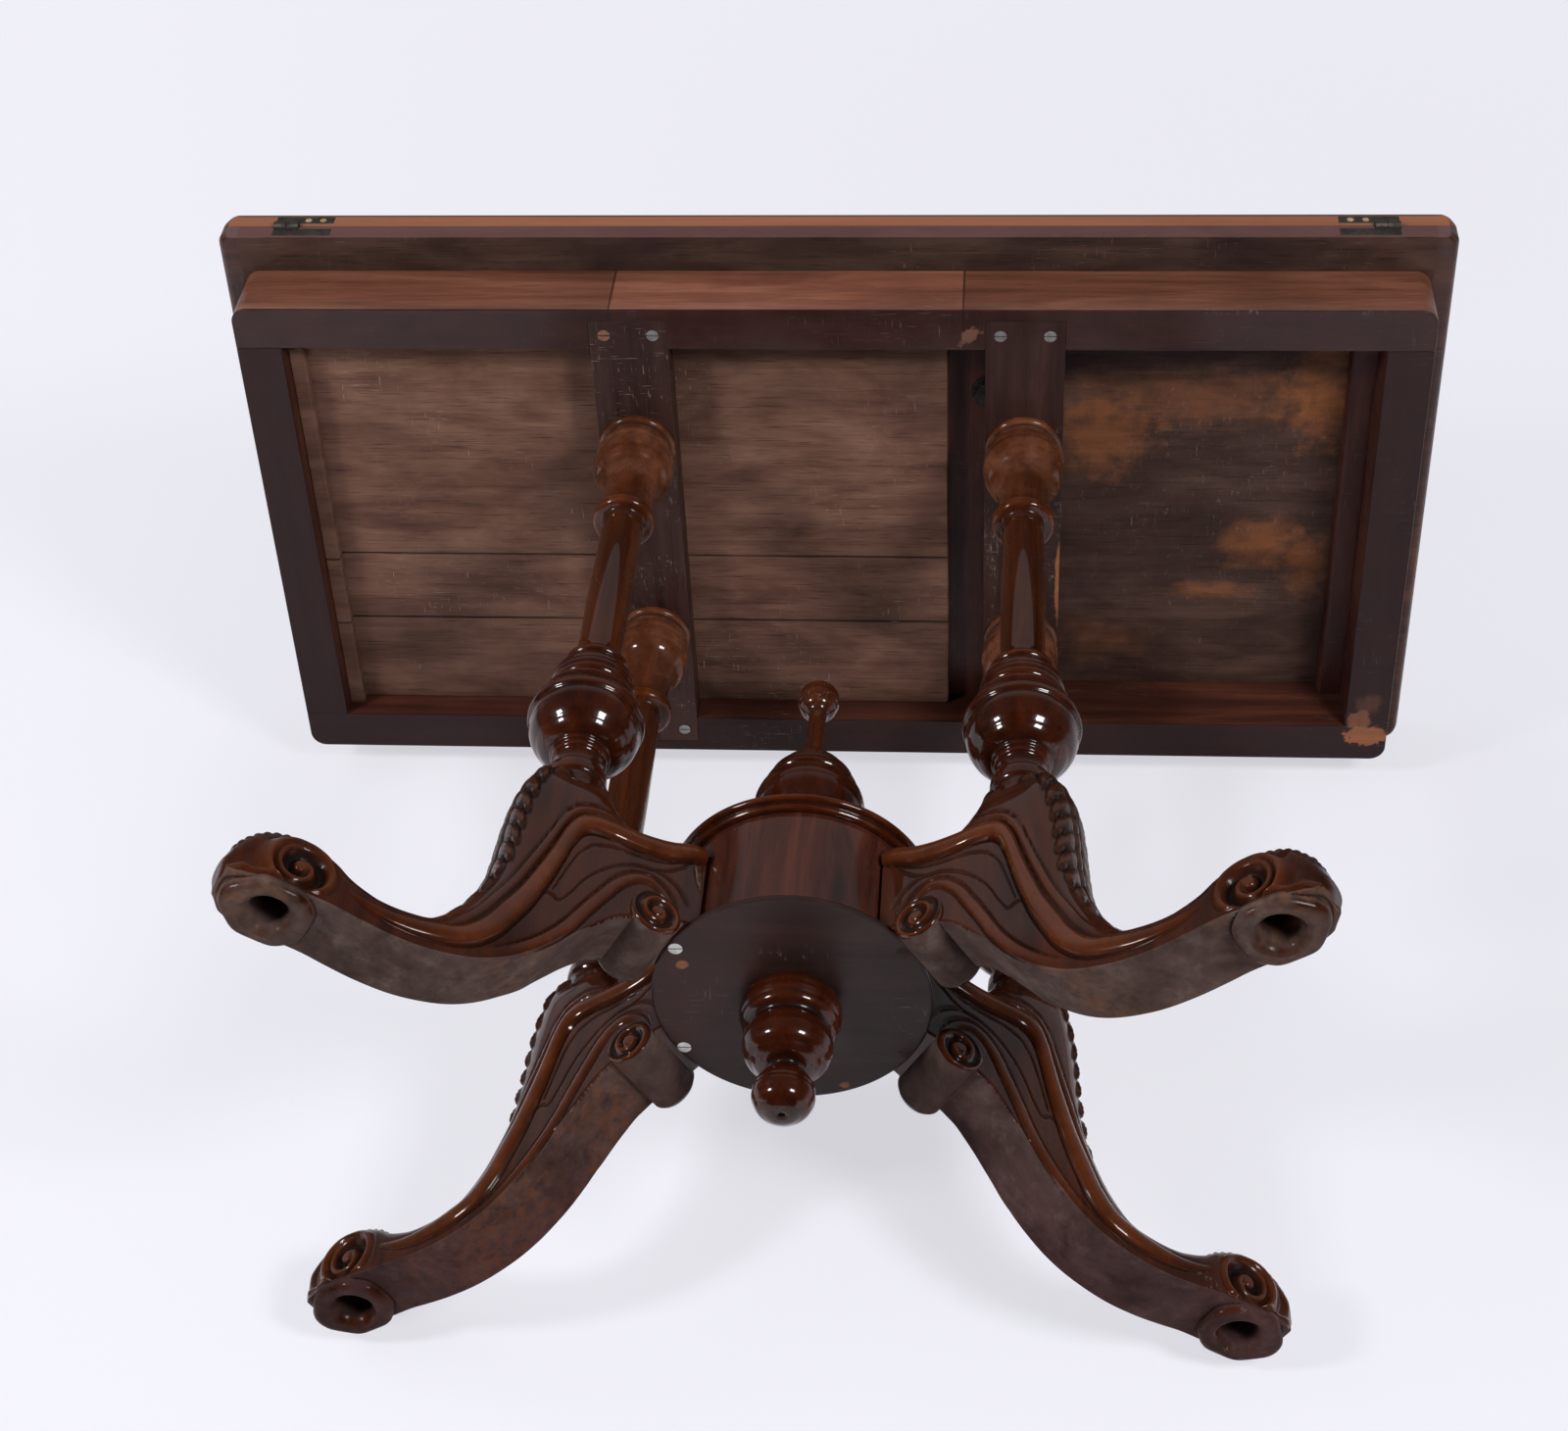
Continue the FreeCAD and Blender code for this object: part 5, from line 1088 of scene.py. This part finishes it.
# Stage, lights and camera
def stage_plane(name, corners, finish):
    mesh = bpy.data.meshes.new(name)
    mesh.from_pydata(corners, [], [(0, 1, 2, 3)])
    mesh.materials.append(finish)
    plane = bpy.data.objects.new(name, mesh)
    bpy.context.scene.collection.objects.link(plane)


def paper(name, tone, glow, camera_only=False, near_glow=0.0):
    """Pale paper that shows on its front face alone and lets lamps behind it through. A glow that only
    the camera sees lifts it to the pale of a studio sweep. The paper under the feet shows to the camera
    alone, so that it neither shades nor mirrors in the upturned underside, and glows a little more in
    front of the tipped paper's foot, where that paper doesn't light it."""
    f = Finish(name)
    rays = f.node("ShaderNodeLightPath").outputs
    strength = f.between(f.away(f.coordinates), 0.8, 2.6, glow, glow + FAR_GLOW)
    if near_glow:
        before = f.between(f.apart()["Y"], TOE_TIP + 0.004, TOE_TIP - 0.004, 0.0, near_glow)
        strength = f.math("ADD", strength, before)
    f.surface({
        "Base Color": f.blend(rays["Is Camera Ray"], tone, shade(tone, SHADED_SHARE)),
        "Roughness": 0.9, "Specular IOR Level": 0.0, "Emission Color": (*tone, 1),
        "Emission Strength": f.times(rays["Is Camera Ray"], strength)})
    front = f.math("SUBTRACT", 1.0, f.node("ShaderNodeNewGeometry").outputs["Backfacing"])
    front = f.times(front, f.math("SUBTRACT", 1.0, rays["Is Shadow Ray"]))
    if camera_only:
        front = f.times(front, rays["Is Camera Ray"])
    clear = f.node("ShaderNodeBsdfTransparent")
    mixed = f.node("ShaderNodeMixShader", {0: front, 1: clear.outputs[0], 2: f.shader.outputs[0]})
    f.feed(f.tree.nodes["Material Output"].inputs["Surface"], mixed.outputs[0])
    return f.material


PAPER_TONE = (0.86, 0.855, 0.92)
SHADED_SHARE, GLOW, FAR_GLOW, NEAR_GLOW = 0.30, 0.71, 0.145, 0.075
SPREAD = 14.0
TIP, TIP_HEIGHT, TOE_TIP, TOE_HEIGHT = -0.2396, 0.672, -0.2212, 0.02
LEAN = (TIP - TOE_TIP) / (TIP_HEIGHT - TOE_HEIGHT)
ROUND = ((-SPREAD, -SPREAD), (-SPREAD, SPREAD), (SPREAD, SPREAD), (SPREAD, -SPREAD))


def level_corners(z):
    return [(x, y, z) for y, x in ROUND]


tipped_corners = [(x, TIP + LEAN * (z - TIP_HEIGHT), z) for x, z in ROUND]
stage_plane("paper_under_the_tipped_table", tipped_corners, paper("tipped paper", PAPER_TONE, GLOW))
stage_plane("paper_under_the_feet", level_corners(0),
            paper("floor paper", PAPER_TONE, GLOW, True, NEAR_GLOW))

DARK_FLOOR = -2.7
dark = Finish("dark studio floor").surface({"Base Color": (0.02, 0.02, 0.022, 1), "Roughness": 0.9})
stage_plane("dark_studio_floor", level_corners(DARK_FLOOR), dark)

CAMERA_AT = np.array([-0.13211, 1.30073, -1.14273])
CAMERA_RIGHT = np.array([-0.996932, -0.040044, 0.067256])
CAMERA_DOWN = np.array([-0.01272, -0.764928, -0.643991])
CAMERA_AHEAD = np.array([0.077233, -0.64287, 0.762071])
FOCAL_PIXELS = 2881.3
IMAGE_WIDTH = 1600
SENSOR = 36.0

camera_data = bpy.data.cameras.new("camera")
camera_data.sensor_width = SENSOR
camera_data.lens = FOCAL_PIXELS * SENSOR / IMAGE_WIDTH
camera = bpy.data.objects.new("camera", camera_data)
camera.matrix_world = Matrix([
    [CAMERA_RIGHT[k], -CAMERA_DOWN[k], -CAMERA_AHEAD[k], CAMERA_AT[k]] for k in range(3)
] + [[0, 0, 0, 1]])
bpy.context.scene.collection.objects.link(camera)
bpy.context.scene.camera = camera

MIDDLE = np.array([0.0, 0.0, 0.35])


def softbox(name, left, up, distance, size, power):
    """A square lamp aimed at the table's middle, from a direction that is left and up of the camera's,
    in degrees."""
    left, up = math.radians(left), math.radians(up)
    level = CAMERA_AHEAD * math.cos(left) + CAMERA_RIGHT * math.sin(left)
    toward = -level * math.cos(up) - CAMERA_DOWN * math.sin(up)
    lamp_at(name, MIDDLE + toward * distance, size, power)


def lamp_at(name, place, size, power, mirrored=True):
    """A square lamp aimed at the table's middle; a fill lamp isn't mirrored in polished wood."""
    lamp = bpy.data.lights.new(name, "AREA")
    lamp.shape = "SQUARE"
    lamp.size = size
    lamp.energy = power
    thing = bpy.data.objects.new(name, lamp)
    thing.visible_glossy = mirrored
    back = (np.asarray(place) - MIDDLE) / np.linalg.norm(np.asarray(place) - MIDDLE)
    side = np.cross((0.0, 0.0, 1.0), back)
    side = side / np.linalg.norm(side)
    over = np.cross(back, side)
    thing.matrix_world = Matrix([[side[k], over[k], back[k], place[k]] for k in range(3)] + [[0, 0, 0, 1]])
    bpy.context.scene.collection.objects.link(thing)


softbox("left softbox", 49, 14, 2.6, 0.42, 37)
softbox("right softbox", -29, 12, 2.6, 0.6, 48)
lamp_at("upright lamp", (-1.6, -1.9, 2.6), 1.6, 46)
lamp_at("upright back lamp", (2.5, 1.6, 1.0), 1.9, 26, mirrored=False)
lamp_at("upright front lamp", (0.9, -2.6, 0.9), 1.9, 34, mirrored=False)

world = bpy.data.worlds.new("studio")
bpy.context.scene.world = world
world.use_nodes = True
background = world.node_tree.nodes["Background"]
background.inputs["Color"].default_value = (0.9, 0.9, 0.94, 1)
WORLD_LEVEL, MIRRORED_SHARE, SWEEP_LEVEL, PALE_LEVEL = 0.25, 0.45, 0.38, 0.62

# The pale sweep behind the tipped table, which polished wood mirrors, and the pale surround of other views
sky = Nodes(world.node_tree)
rays = sky.node("ShaderNodeLightPath").outputs
heading = sky.node("ShaderNodeTexCoord").outputs["Generated"]
height = sky.node("ShaderNodeSeparateXYZ", {0: heading}).outputs["Z"]
sweep = sky.times(sky.between(height, 0.45, 0.72, 0.0, SWEEP_LEVEL), rays["Is Glossy Ray"])
dimmed = sky.between(rays["Is Glossy Ray"], 0, 1, WORLD_LEVEL, MIRRORED_SHARE * WORLD_LEVEL)
seen = sky.math("ADD", sky.times(rays["Is Camera Ray"], PALE_LEVEL), dimmed)
sky.feed(background.inputs["Strength"], sky.math("ADD", sweep, seen))
bpy.context.scene.view_settings.view_transform = "Standard"
